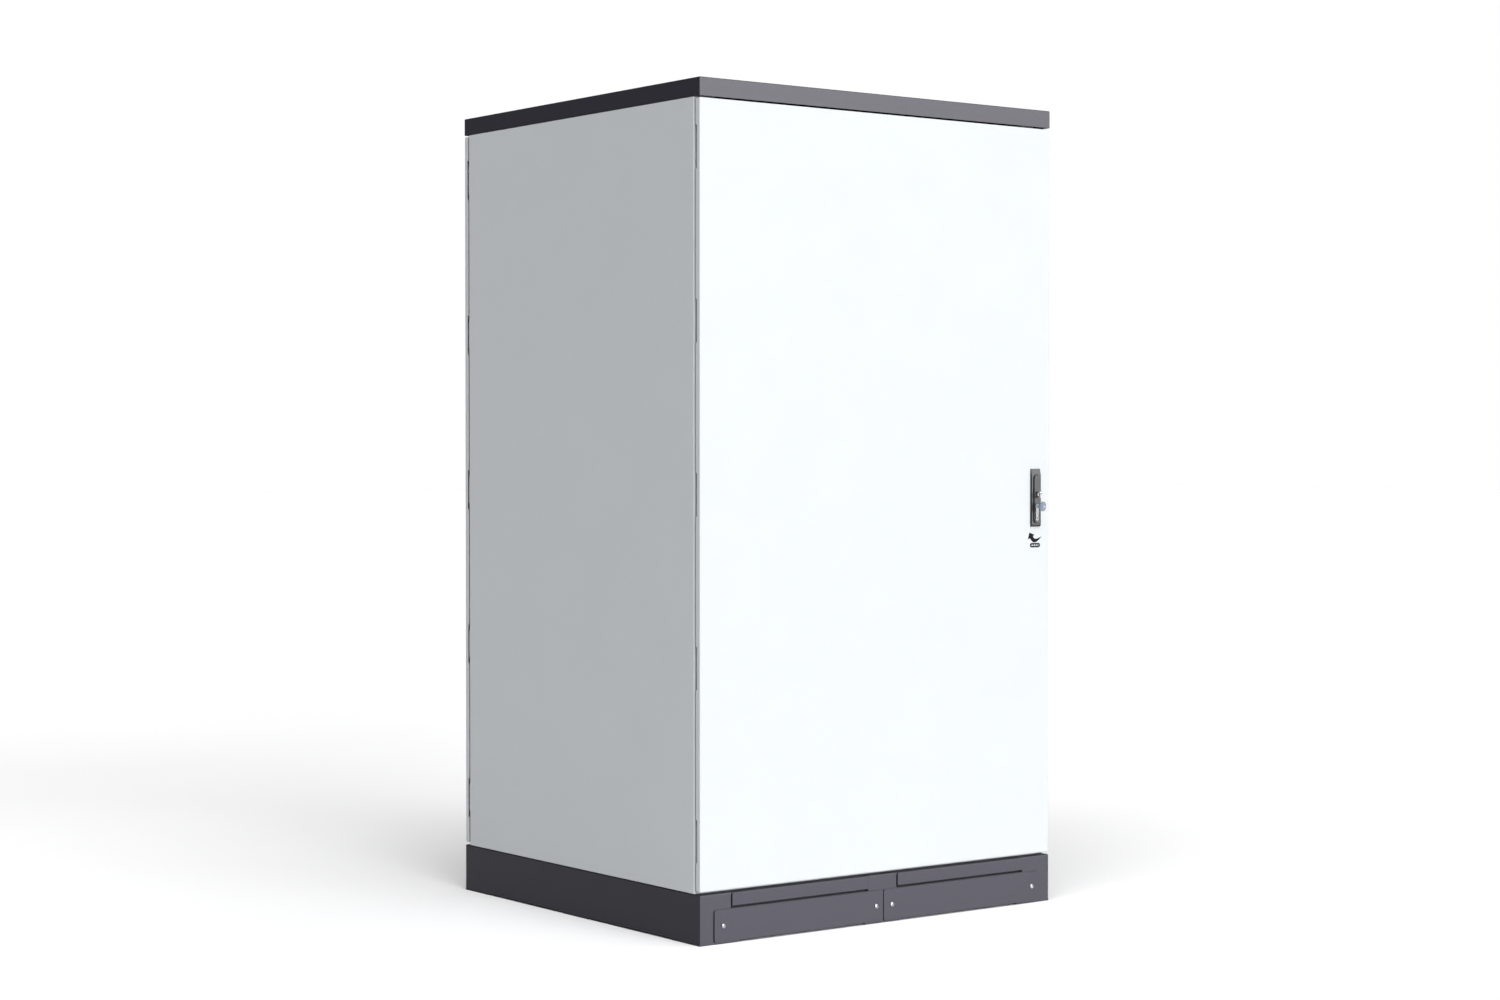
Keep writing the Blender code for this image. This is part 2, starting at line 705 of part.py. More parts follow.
def rod_outline(end):
    """A flat rod with a rack along its inner end, for the rod above the pinion (end 1) or below (end -1).

    It is drawn for the upper rod. The lower rod is the same shape turned half a turn about the hub.
    """
    pitch = math.pi * GEAR_MODULE
    pitch_line = GEAR_MODULE * GEAR_TEETH / 2
    tip, root = pitch_line - 0.65 * GEAR_MODULE, pitch_line + 1.25 * GEAR_MODULE
    half_tooth = (pitch / 2 - GEAR_BACKLASH) / 2
    slope = math.tan(PRESSURE_ANGLE)
    tip_half = half_tooth - (pitch_line - tip) * slope
    root_half = half_tooth + (root - pitch_line) * slope
    back = root + 0.0034
    neck_low, neck_high, body_left, body_right = 0.0270, 0.0370, -0.0072, 0.0065
    length = (ROD_TOP - HUB_Z) if end > 0 else (HUB_Z - ROD_BOTTOM)
    points = [(back, -0.0085), (back, neck_high), (body_right, neck_high), (body_right, length)]
    points += [(body_left, length), (body_left, neck_low), (root, neck_low)]
    for tooth in range(4, -2, -1):
        middle = (tooth + 0.5) * pitch
        points += [(root, middle + root_half), (tip, middle + tip_half)]
        points += [(tip, middle - tip_half), (root, middle - root_half)]
    points.append((root, -0.0085))
    return [(HANDLE_X + end * u, HUB_Z + end * v) for u, v in points]


def build_handle(side, finishes, with_eye):
    """The swing handle on the outside of a door, and the pinion and rods of its lock on the inside."""
    label = SIDE_NAME[side]
    half = HOUSING_HALF_WIDTH
    outline = rounded_rectangle(HANDLE_X - half, HANDLE_X + half, HOUSING_BOTTOM, HOUSING_TOP, 0.004, 4)
    plate(
        f"{label}_handle_housing",
        [outline, circle(HANDLE_X, HUB_Z, SPINDLE_RADIUS + 0.0005, 16)],
        "Y",
        y_span(side, -GAP, -HOUSING_PROUD),
        finishes["black_plastic"],
    )
    spindle = plate(
        f"{label}_lock_spindle",
        [gear_outline(HANDLE_X, HUB_Z)],
        "Y",
        y_span(side, GEAR_FRONT, GEAR_BACK),
        finishes["zinc"],
    )
    shaft = circle(HANDLE_X, HUB_Z, SPINDLE_RADIUS, 16)
    shaft_y = y_span(side, -LEVER_BACK + GAP, GEAR_BACK - 0.001)
    join(spindle, plate(f"{label}_spindle_shaft", [shaft], "Y", shaft_y))
    build_lever(side, finishes, with_eye)
    rod_y = y_span(side, GEAR_FRONT, GEAR_BACK)
    for end, word in ((1, "upper"), (-1, "lower")):
        plate(f"{label}_lock_rod_{word}", [rod_outline(end)], "Y", rod_y, finishes["zinc"])


def build_lever(side, finishes, with_eye):
    label = SIDE_NAME[side]
    seat_radius = CYLINDER_RADIUS + GAP
    cylinder_top = CYLINDER_Z + CYLINDER_RADIUS
    holes = [stadium(HANDLE_X, seat_radius, CYLINDER_BOTTOM - GAP, cylinder_top + GAP, 4)]
    if with_eye:
        holes.append(rectangle(HANDLE_X - 0.0020, HANDLE_X + 0.0020, EYE_Z - 0.0060, EYE_Z + 0.0060))
    outline = stadium(HANDLE_X, LEVER_HALF_WIDTH, LEVER_BOTTOM, LEVER_TOP)
    plate(
        f"{label}_handle_lever",
        [outline, *holes],
        "Y",
        y_span(side, -LEVER_BACK, -LEVER_FACE),
        finishes["black_plastic"],
    )
    body = stadium(HANDLE_X, CYLINDER_RADIUS, CYLINDER_BOTTOM, cylinder_top, 4)
    plate(
        f"{label}_lock_cylinder",
        [body, circle(HANDLE_X, CYLINDER_Z, 0.0046, 16)],
        "Y",
        y_span(side, -LEVER_BACK - GAP, -CYLINDER_FACE),
        finishes["chrome"],
    )
    if with_eye:
        build_padlock_eye(side, finishes["chrome"])


def build_padlock_eye(side, finish):
    """A round eye on a tongue that goes into the lever, standing out in the plane across the door."""
    centre, radius, tongue = EYE_CENTRE, EYE_RADIUS, 0.0055
    start = 180 - math.degrees(math.asin(tongue / radius))
    ring = arc(0, 0, radius, start, -start, 20)
    outline = [(-LEVER_BACK - GAP, tongue)] + [(-centre - u, v) for u, v in ring]
    outline.append((-LEVER_BACK - GAP, -tongue))
    hole = [(-centre + u, v) for u, v in circle(0, 0, 0.0042, 16)]
    outlines = [[(y_at(side, d), EYE_Z + v) for d, v in points] for points in (outline, hole)]
    plate(f"{SIDE_NAME[side]}_padlock_eye", outlines, "X", (HANDLE_X - 0.0016, HANDLE_X + 0.0016), finish)


def build_key(side, finish):
    """The key, with the lock plug that it turns in. Its blade is upright."""
    name = f"{SIDE_NAME[side]}_key"
    bow = circle(y_at(side, -BOW_CENTRE), CYLINDER_Z, BOW_RADIUS, 20)
    hole = circle(y_at(side, -BOW_CENTRE - 0.0065), CYLINDER_Z, 0.0028, 10)
    key = plate(name, [bow, hole], "X", (HANDLE_X - 0.0011, HANDLE_X + 0.0011), finish)
    blade = (
        (HANDLE_X - 0.0010, HANDLE_X + 0.0010),
        y_span(side, -CYLINDER_FACE, -BOW_CENTRE + 0.010),
        (CYLINDER_Z - 0.0036, CYLINDER_Z + 0.0036),
    )
    join(key, boxes(f"{name}_blade", [blade]))
    plug = circle(HANDLE_X, CYLINDER_Z, 0.0043, 16)
    plug_y = y_span(side, -LEVER_BACK - 2 * GAP, -CYLINDER_FACE - 0.0004)
    join(key, plate(f"{name}_plug", [plug], "Y", plug_y))


# ---- mounting plate and equipment ----


def from_plate(distance):
    """The y of a plane that far in front of the mounting plate."""
    return PLATE_Y - distance


def build_mounting_plate(finish):
    """A full-height plate across the cabinet, with cable openings at its top and bottom."""
    half = PLATE_HALF_WIDTH
    outline = rectangle(-half, half, BASE_FRAME_TOP + GAP, TOP_FRAME_BOTTOM - GAP)
    openings = [rounded_rectangle(-0.40, 0.40, *zs, 0.02, 3) for zs in PLATE_OPENINGS]
    ys = (PLATE_Y, PLATE_Y + PLATE_SHEET)
    return plate("mounting_plate", [outline, *openings], "Y", ys, finish)


def build_busbars(finishes):
    for name, height in BAR_HEIGHTS.items():
        ys = (from_plate(BAR_FRONT), from_plate(BAR_FRONT - BAR_WIDTH))
        zs = (height - BAR_THICKNESS / 2, height + BAR_THICKNESS / 2)
        box(name, (-BAR_HALF_LENGTH, BAR_HALF_LENGTH), ys, zs, finishes["copper"])
    for hand in (LEFT, RIGHT):
        build_busbar_support(hand, finishes["insulator"])


def build_busbar_support(hand, finish):
    """A comb of insulating moulding: the bars lie in its slots."""
    front, back = from_plate(BAR_FRONT + 0.008), from_plate(GAP)
    slot_back = from_plate(BAR_FRONT - BAR_WIDTH - GAP)
    margin = BAR_THICKNESS / 2 + GAP
    heights = sorted(BAR_HEIGHTS.values())
    outline = [(back, heights[0] - 0.035), (front, heights[0] - 0.022)]
    for height in heights:
        outline += [(front, height - margin), (slot_back, height - margin)]
        outline += [(slot_back, height + margin), (front, height + margin)]
    outline += [(front, heights[-1] + 0.022), (back, heights[-1] + 0.035)]
    xs = sorted((hand * 0.300, hand * 0.325))
    plate(f"busbar_support_{HAND_NAME[hand]}", [outline], "X", xs, finish)


def build_breaker(name, x, z, sizes, finishes):
    """A moulded-case breaker: body, raised nose with the toggle's slot, and the toggle at ON."""
    width, height, depth = sizes["body"]
    nose_width, nose_height, nose_depth = sizes["nose"]
    slot_width, slot_height = sizes["slot"]
    back = from_plate(GAP)
    xs = (x - width / 2, x + width / 2)
    body_span = (xs, (back, from_plate(depth)), (z - height / 2, z + height / 2))
    body = boxes(name, [body_span], finishes["breaker"])
    nose_span = (
        (x - nose_width / 2, x + nose_width / 2),
        (from_plate(depth - 0.005), from_plate(depth + nose_depth)),
        (z - nose_height / 2, z + nose_height / 2),
    )
    join(body, boxes(name + "_nose", [nose_span]))
    pocket_depth = 0.030
    pocket = (
        (x - slot_width / 2, x + slot_width / 2),
        (from_plate(depth + nose_depth + 0.01), from_plate(depth + nose_depth - pocket_depth)),
        (z - slot_height / 2, z + slot_height / 2),
    )
    cut(body, boxes(name + "_pocket", [pocket]))
    build_toggle(name, x, z, depth + nose_depth, slot_width, slot_height, finishes["toggle"])


def build_toggle(name, x, z, face, slot_width, slot_height, finish):
    """The toggle turns about a line 18 mm behind the breaker's face, and stands tilted up at ON."""
    pivot = Vector((x, from_plate(face - 0.018), z))
    half_width = slot_width / 2 - 0.003
    thickness = slot_height * 0.17
    reach = 0.018 + slot_height * 0.42
    lever = box(
        name + "_toggle",
        (-half_width, half_width),
        (-reach, 0),
        (-thickness, thickness),
        finish,
    )
    lever.location = pivot
    lever.rotation_euler = (math.radians(-TOGGLE_TILT), 0, 0)
    return lever


def build_terminals(finishes):
    """A top-hat rail and the row of terminals on it."""
    z, half = 0.500, 0.0175
    back = from_plate(GAP)
    step, sheet = 0.0075, 0.001
    wall = half - 0.0045
    upper = [
        (back, wall),
        (back - step + sheet, wall),
        (back - step + sheet, half),
        (back - step, half),
        (back - step, wall - sheet),
        (back - sheet, wall - sheet),
    ]
    profile = [(y, z + v) for y, v in upper] + [(y, z - v) for y, v in reversed(upper)]
    plate("din_rail", [profile], "X", (-0.36, 0.36), finishes["zinc"])
    near = back - step - GAP
    row = [
        (near, z - 0.030),
        (near, z + 0.030),
        (near - 0.020, z + 0.030),
        (near - 0.036, z + 0.012),
        (near - 0.036, z - 0.012),
        (near - 0.020, z - 0.030),
    ]
    plate("terminal_row", [row], "X", (-0.30, 0.30), finishes["terminal"])


def build_duct(finish):
    """A ladder of slotted wiring duct round the breakers, hollow towards the plate."""
    width, wall, depth = 0.045, 0.002, 0.060
    outer = (-0.440, 0.440, 0.600, 1.500)
    cells = [(0.645, 0.990), (1.035, 1.455)]

    def ladder(grow):
        frame = rectangle(outer[0] - grow, outer[1] + grow, outer[2] - grow, outer[3] + grow)
        inner = [
            rectangle(outer[0] + width + grow, outer[1] - width - grow, low + grow, high - grow)
            for low, high in cells
        ]
        return [frame, *inner]

    duct = plate("cable_duct", ladder(0), "Y", (from_plate(GAP), from_plate(depth)), finish)
    hollow = plate("duct_hollow", ladder(-wall), "Y", (from_plate(-0.01), from_plate(depth - wall)))
    return cut(duct, hollow)


def build_earth_bar(finishes):
    """The earth bar on its two feet."""
    z = 0.390
    bar_span = ((-0.34, 0.34), (from_plate(0.030), from_plate(0.036)), (z - 0.0125, z + 0.0125))
    bar = boxes("earth_bar", [bar_span], finishes["copper"])
    for x in (-0.30, 0.30):
        foot_y = (from_plate(GAP), from_plate(0.031))
        join(bar, plate(f"earth_bar_foot_{x}", [circle(x, z, 0.008, 12)], "Y", foot_y))
    return bar


def build_equipment(finishes):
    build_mounting_plate(finishes["plate"])
    build_busbars(finishes)
    build_breaker("main_breaker", 0.0, 1.245, MAIN_BREAKER, finishes)
    for number, x in enumerate((-0.245, 0.0, 0.245), 1):
        build_breaker(f"feeder_breaker_{number}", x, 0.817, FEEDER_BREAKER, finishes)
    build_terminals(finishes)
    build_duct(finishes["duct"])
    build_earth_bar(finishes)


def put_origin(name, point):
    """Moves a piece's origin to a point on its joint's axis, and leaves its shape where it is."""
    piece = bpy.data.objects[name]
    piece.data.transform(Matrix.Translation(-Vector(point)))
    piece.location = point


def put_origins_on_joints():
    for side in (FRONT, REAR):
        label = SIDE_NAME[side]
        hinge = (HINGE_X, y_at(side, HINGE_SETBACK), HINGE_HEIGHTS[0])
        for piece in ("door", "door_gasket", "door_stiffener", "hinge_sleeves", "handle_housing"):
            put_origin(f"{label}_{piece}", hinge)
        hub = (HANDLE_X, y_at(side, 0), HUB_Z)
        for piece in ("lock_spindle", "lock_rod_upper", "lock_rod_lower"):
            put_origin(f"{label}_{piece}", hub)
        lift = (HANDLE_X, y_at(side, LIFT_DEPTH), LIFT_Z)
        for piece in ("handle_lever", "lock_cylinder"):
            put_origin(f"{label}_{piece}", lift)
        put_origin(f"{label}_key", (HANDLE_X, y_at(side, -LEVER_FACE), CYLINDER_Z))
    put_origin("document_pocket", (HINGE_X, y_at(FRONT, HINGE_SETBACK), HINGE_HEIGHTS[0]))
    put_origin("front_padlock_eye", (HANDLE_X, y_at(FRONT, LIFT_DEPTH), LIFT_Z))


def main():
    global PARTS, CUTTERS
    for old in list(bpy.data.objects):
        bpy.data.objects.remove(old)
    PARTS = bpy.data.collections.new("switchboard_cabinet")
    CUTTERS = bpy.data.collections.new("cutters")
    for group in (PARTS, CUTTERS):
        bpy.context.scene.collection.children.link(group)
    finishes = make_materials()

    build_plinth(finishes["anthracite"])
    build_base_frame(finishes["light_grey"])
    build_top_frame(finishes["light_grey"])
    build_roof(finishes["anthracite"])
    build_gland_plate(finishes["zinc"])
    for hand in (LEFT, RIGHT):
        build_side_panel(hand, finishes["light_grey"])
    for side in (FRONT, REAR):
        for hand in (LEFT, RIGHT):
            build_plinth_cover(side, hand, finishes["anthracite"])
            build_post(side, hand, finishes["light_grey"])
        build_hinge_carrier(side, finishes["zinc"])
        build_hinge_sleeves(side, finishes["zinc"])
        build_door(side, finishes["light_grey"])
        build_gasket(side, finishes["foam"])
        build_stiffener(side, finishes["light_grey"])
        build_handle(side, finishes, with_eye=side == FRONT)
        build_key(side, finishes["chrome"])
    build_document_pocket(finishes["pocket"])
    build_equipment(finishes)
    put_origins_on_joints()


main()
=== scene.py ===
import math

import bmesh
import bpy
from mathutils import Matrix, Vector


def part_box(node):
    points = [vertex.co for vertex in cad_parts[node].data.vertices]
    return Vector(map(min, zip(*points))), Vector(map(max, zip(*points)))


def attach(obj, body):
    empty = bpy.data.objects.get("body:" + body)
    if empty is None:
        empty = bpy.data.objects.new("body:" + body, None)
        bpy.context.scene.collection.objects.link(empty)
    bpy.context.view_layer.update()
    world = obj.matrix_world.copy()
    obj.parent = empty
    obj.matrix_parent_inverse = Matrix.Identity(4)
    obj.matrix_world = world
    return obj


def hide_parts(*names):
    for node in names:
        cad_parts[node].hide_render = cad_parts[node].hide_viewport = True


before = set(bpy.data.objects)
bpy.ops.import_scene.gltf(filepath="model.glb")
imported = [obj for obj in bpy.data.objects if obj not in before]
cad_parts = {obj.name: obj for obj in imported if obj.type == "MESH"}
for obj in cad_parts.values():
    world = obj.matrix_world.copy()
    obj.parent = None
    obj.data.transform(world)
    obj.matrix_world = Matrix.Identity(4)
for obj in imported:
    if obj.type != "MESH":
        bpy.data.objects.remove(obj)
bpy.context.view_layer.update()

# The looks of the switchboard cabinet: its fine meshes, its materials, and the light and camera.
# Metres, +Z up, and the front door faces -Y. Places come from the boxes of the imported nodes.

FRONT, REAR = "front", "rear"
LEFT, RIGHT = "left", "right"
OUTWARD = {FRONT: -1, REAR: 1}  # the way along Y that a door faces
HAND = {LEFT: -1, RIGHT: 1}

# Sheet thickness and outside fold radius of each folded cover.
ROOF_SHEET, ROOF_FOLD = 0.002, 0.0026
SIDE_SHEET, SIDE_FOLD = 0.0015, 0.0022
DOOR_SHEET, DOOR_FOLD = 0.002, 0.0026
PLINTH_SHEET, PLINTH_FOLD = 0.003, 0.0030

PITCH = 0.025  # between the punched holes of the frame and between the earth screws

HINGE_X, HINGE_Y = -0.537, 0.510  # the rear door's pins; the front's are mirrored in Y
HINGE_HEIGHTS = [1.041 + 0.4 * step for step in range(-2, 3)]
BARREL_HALF = 0.018  # half the height of a hinge's bored sleeve

LOUVRE_X = (0.045, 0.4555)
LOUVRE_Z = (0.0855, 0.1172)
LOUVRE_PROUD = 0.003
SLOT_BOTTOM = 0.081  # of the air slot under a louvre


# ---- materials ----

FINISHES = {}  # each material by its plain name, which a material of the CAD may hold already
NOISE_LOW, NOISE_HIGH = 0.30, 0.70  # nearly all of a noise value lies between these


class Nodes:
    """A material's node tree, with short ways to add what the finishes here share."""

    def __init__(self, name):
        self.material = FINISHES[name] = bpy.data.materials.new(name)
        self.material.use_nodes = True
        self.tree = self.material.node_tree
        self.place = self.add("TexCoord").outputs["Object"]

    def fill(self, node, **inputs):
        """Sets or links a node's inputs by name, with a low line for each space."""
        for name, value in inputs.items():
            socket = node.inputs[name.replace("_", " ")]
            if isinstance(value, bpy.types.NodeSocket):
                self.tree.links.new(value, socket)
            else:
                socket.default_value = value

    def add(self, kind, **inputs):
        node = self.tree.nodes.new("ShaderNode" + kind)
        self.fill(node, **inputs)
        return node

    def set(self, **inputs):
        """Sets or links inputs of the material's one shader."""
        self.fill(self.tree.nodes["Principled BSDF"], **inputs)

    def noise(self, scale, detail=2.0, stretch=None):
        place = self.place
        if stretch:
            place = self.add("Mapping", Scale=stretch, Vector=place).outputs["Vector"]
        return self.add("TexNoise", Scale=scale, Detail=detail, Vector=place).outputs["Fac"]

    def ramp(self, value, stops):
        """Maps a value through colour stops, each (position, rgb)."""
        node = self.add("ValToRGB", Fac=value)
        elements = node.color_ramp.elements
        for element, (position, colour) in zip(elements, (stops[0], stops[-1])):
            element.position = position
            element.color = (*colour, 1.0)
        for position, colour in stops[1:-1]:
            elements.new(position).color = (*colour, 1.0)
        return node.outputs["Color"]

    def span(self, value, low, high):
        """Maps a noise value to run about from low to high."""
        limits = {"From Min": NOISE_LOW, "From Max": NOISE_HIGH, "To Min": low, "To Max": high}
        return self.add("MapRange", Value=value, **limits).outputs["Result"]

    def bump(self, heights):
        """Stacks bumps on the shader, each (value, distance in metres)."""
        under = {}
        for value, distance in heights:
            node = self.add("Bump", Strength=1.0, Distance=distance, Height=value, **under)
            under = {"Normal": node.outputs["Normal"]}
        self.set(**under)

    def finish(self, tone, stops, texture, rough, bumps, **inputs):
        """Colour from the tone, roughness from the texture, relief from the bumps."""
        self.set(Base_Color=self.ramp(tone, stops), Roughness=self.span(texture, *rough), **inputs)
        self.bump(bumps)


def shades(colour, spread):
    """A darker, the plain and a lighter version of a colour, as ramp stops."""
    return [
        (NOISE_LOW, [c * (1 - spread) for c in colour]),
        (0.50, colour),
        (NOISE_HIGH, [min(1.0, c * (1 + spread)) for c in colour]),
    ]


def powder_coat(name, colour, gloss, grain, shine=0.45):
    """Sprayed and baked paint: a fine orange peel over a long soft waviness of the sheet."""
    m = Nodes(name)
    waves, peel, speck = m.noise(2.2, detail=3.0), m.noise(260.0), m.noise(900.0)
    tone, rough = m.noise(6.0, detail=4.0), (gloss - 0.05, gloss + 0.05)
    bumps = [(waves, 0.0002), (peel, grain), (speck, grain * 0.35)]
    m.finish(tone, shades(colour, 0.008), speck, rough, bumps, Specular_IOR_Level=shine)


def plated(name, colour, roughness, streak=(1.0, 1.0, 1.0), spread=0.08):
    """Bare or plated metal with clouding and, where stretched, drawn lines."""
    m = Nodes(name)
    lines = m.noise(420.0, detail=3.0, stretch=streak)
    tone, rough = m.noise(30.0, detail=4.0), (roughness * 0.75, roughness * 1.3)
    m.finish(tone, shades(colour, spread), lines, rough, [(lines, 0.00003)], Metallic=1.0)


def spangled(name, colour):
    """Hot-dip galvanised sheet with its crystal pattern."""
    m = Nodes(name)
    crystal = m.add("TexVoronoi", Scale=70.0, Vector=m.place)
    tone = m.add("SeparateColor", Color=crystal.outputs["Color"])
    stops = [(0.0, [c * 0.93 for c in colour]), (1.0, [c * 1.06 for c in colour])]
    bumps = [(m.noise(300.0), 0.00002)]
    m.finish(tone.outputs["Red"], stops, tone.outputs["Green"], (0.50, 0.58), bumps, Metallic=0.70)


def moulded(name, colour, roughness, grain=0.00006, scale=1400.0, spread=0.06, shine=0.5):
    """Moulded plastic with an eroded grain."""
    m = Nodes(name)
    texture, rough = m.noise(scale, detail=3.0), (roughness - 0.06, roughness + 0.08)
    tone, bumps = m.noise(45.0, detail=3.0), [(texture, grain)]
    m.finish(tone, shades(colour, spread), texture, rough, bumps, Specular_IOR_Level=shine)


def foam(name, colour):
    """Dull rubber with open cells."""
    m = Nodes(name)
    tone, cells = m.noise(90.0, detail=3.0), m.noise(2200.0, detail=3.0)
    m.finish(tone, shades(colour, 0.25), cells, (0.8, 0.98), [(cells, 0.0003)])


def printed(name, colour):
    """Ink on a thin film: almost flat, with a slight unevenness."""
    m = Nodes(name)
    tone, texture, bumps = m.noise(160.0, detail=3.0), m.noise(500.0), [(m.noise(700.0), 0.00001)]
    m.finish(tone, shades(colour, 0.12), texture, (0.55, 0.7), bumps, Specular_IOR_Level=0.12)


def studio_floor(name, colour):
    """Matt white board."""
    m = Nodes(name)
    tone, texture, bumps = m.noise(1.2), m.noise(5.0), [(m.noise(40.0), 0.0001)]
    m.finish(tone, shades(colour, 0.004), texture, (0.85, 0.95), bumps, Specular_IOR_Level=0.1)


powder_coat("light_grey_paint", (0.416, 0.433, 0.447), 0.55, 0.00008, 0.25)
powder_coat("anthracite_paint", (0.0155, 0.0145, 0.0215), 0.46, 0.00010, 0.20)
powder_coat("frame_paint", (0.52, 0.54, 0.55), 0.5, 0.00006)
plated("zinc_plate", (0.50, 0.51, 0.54), 0.32)
plated("rod_steel", (0.60, 0.61, 0.64), 0.30, streak=(1.0, 1.0, 0.04))
plated("screw_steel", (0.42, 0.42, 0.45), 0.26)
moulded("black_plastic", (0.011, 0.0115, 0.013), 0.42, shine=0.24)
plated("chrome_plate", (0.78, 0.79, 0.80), 0.20, spread=0.03)
plated("key_steel", (0.40, 0.45, 0.53), 0.30, streak=(1.0, 0.1, 1.0))
foam("foam_rubber", (0.018, 0.018, 0.019))
spangled("plate_steel", (0.36, 0.37, 0.385))
moulded("breaker_moulding", (0.060, 0.062, 0.068), 0.48)
moulded("breaker_face", (0.36, 0.37, 0.38), 0.5)
moulded("toggle_plastic", (0.015, 0.015, 0.016), 0.3, 0.00002)
printed("white_print", (0.75, 0.75, 0.74))
printed("green_print", (0.05, 0.30, 0.09))
printed("red_print", (0.50, 0.03, 0.02))
printed("black_print", (0.004, 0.004, 0.004))
printed("label_print", (0.022, 0.022, 0.024))
plated("copper", (0.72, 0.36, 0.22), 0.28, streak=(0.03, 1.0, 1.0), spread=0.14)
moulded("insulator", (0.30, 0.035, 0.022), 0.42, 0.0001, 500.0, 0.15)
moulded("duct_plastic", (0.40, 0.42, 0.44), 0.5)
moulded("terminal_plastic", (0.47, 0.45, 0.38), 0.5)
moulded("terminal_blue", (0.035, 0.16, 0.42), 0.5)
moulded("terminal_green", (0.10, 0.38, 0.10), 0.5)
moulded("pocket_plastic", (0.52, 0.54, 0.54), 0.45, spread=0.02)
moulded("rubber", (0.022, 0.022, 0.022), 0.75, 0.00012)
studio_floor("studio_floor", (0.80, 0.80, 0.805))


# ---- outlines, as lists of two-number points ----


def about(middle, half):
    return (middle - half, middle + half)


def rectangle(u0, u1, v0, v1):
    return [(u0, v0), (u1, v0), (u1, v1), (u0, v1)]


def arc(centre_u, centre_v, radius, start, end, steps=8):
    angles = [math.radians(start + (end - start) * i / steps) for i in range(steps + 1)]
    return [(centre_u + radius * math.cos(a), centre_v + radius * math.sin(a)) for a in angles]


def circle(centre_u, centre_v, radius, steps=32):
    return arc(centre_u, centre_v, radius, 0, 360, steps)[:-1]


def rounded_rectangle(u0, u1, v0, v1, radius, steps=6):
    left, right, bottom, top = u0 + radius, u1 - radius, v0 + radius, v1 - radius
    points = []
    for number, (u, v) in enumerate(((right, top), (left, top), (left, bottom), (right, bottom))):
        points += arc(u, v, radius, 90 * number, 90 * number + 90, steps)
    return points


def bent(start, through, end, steps=10):
    """A smooth curve from start to end that passes through a point halfway."""
    points = []
    for i in range(steps + 1):
        t = i / steps
        a, b, c = (1 - t) * (1 - 2 * t), 4 * t * (1 - t), t * (2 * t - 1)
        points.append(tuple(a * p + b * q + c * r for p, q, r in zip(start, through, end)))
    return points


def stadium(centre_u, radius, v0, v1, steps=12):
    """An upright slot with round ends."""
    top = arc(centre_u, v1 - radius, radius, 0, 180, steps)
    return top + arc(centre_u, v0 + radius, radius, 180, 360, steps)


# ---- meshes ----

TURN_TO_AXIS = {
    "X": Matrix(((0, 0, 1), (1, 0, 0), (0, 1, 0))),
    "Y": Matrix(((1, 0, 0), (0, 0, -1), (0, 1, 0))),
    "Z": Matrix.Identity(3),
}


def new_object(name, mesh):
    made = bpy.data.objects.new(name, mesh)
    bpy.context.scene.collection.objects.link(made)
    return made


def meshed(name, shape):
    """An object from a finished bmesh, which it frees."""
    mesh = bpy.data.meshes.new(name)
    shape.to_mesh(mesh)
    shape.free()
    return new_object(name, mesh)


def modify(piece, name, kind, **settings):
    step = piece.modifiers.new(name, kind)
    for setting, value in settings.items():
        setattr(step, setting, value)
    return piece


def smooth(piece, angle=38):
    """Smooth shading in which the large flat faces keep their own normals."""
    piece.data.shade_smooth()
    piece.data.set_sharp_from_angle(angle=math.radians(angle))
    return modify(piece, "flat_faces_first", "WEIGHTED_NORMAL", keep_sharp=True)


def bevel(piece, width, segments=2, angle=30):
    """Rounds a piece's sharp edges and shades it smooth."""
    limit = {"limit_method": "ANGLE", "angle_limit": math.radians(angle), "use_clamp_overlap": True}
    modify(piece, "rounded_edges", "BEVEL", width=width, segments=segments, **limit)
    piece.data.shade_smooth()
    return modify(piece, "flat_faces_first", "WEIGHTED_NORMAL")


def closed(name, shape, edge=0.0, segments=2):
    """An object from a closed bmesh, with its faces turned outwards and its edges rounded."""
    bmesh.ops.recalc_face_normals(shape, faces=shape.faces)
    made = meshed(name, shape)
    return bevel(made, edge, segments) if edge else made


def final_mesh(made):
    """A copy of an object's shape after its modifiers, where it stands in the world."""
    bpy.context.view_layer.update()
    graph = bpy.context.evaluated_depsgraph_get()
    mesh = bpy.data.meshes.new_from_object(made.evaluated_get(graph), depsgraph=graph)
    mesh.transform(made.matrix_world)
    return mesh


def add_box(shape, low, high):
    place = Matrix.Translation((low + high) / 2) @ Matrix.Diagonal((*(high - low), 1.0))
    bmesh.ops.create_cube(shape, size=1.0, matrix=place)


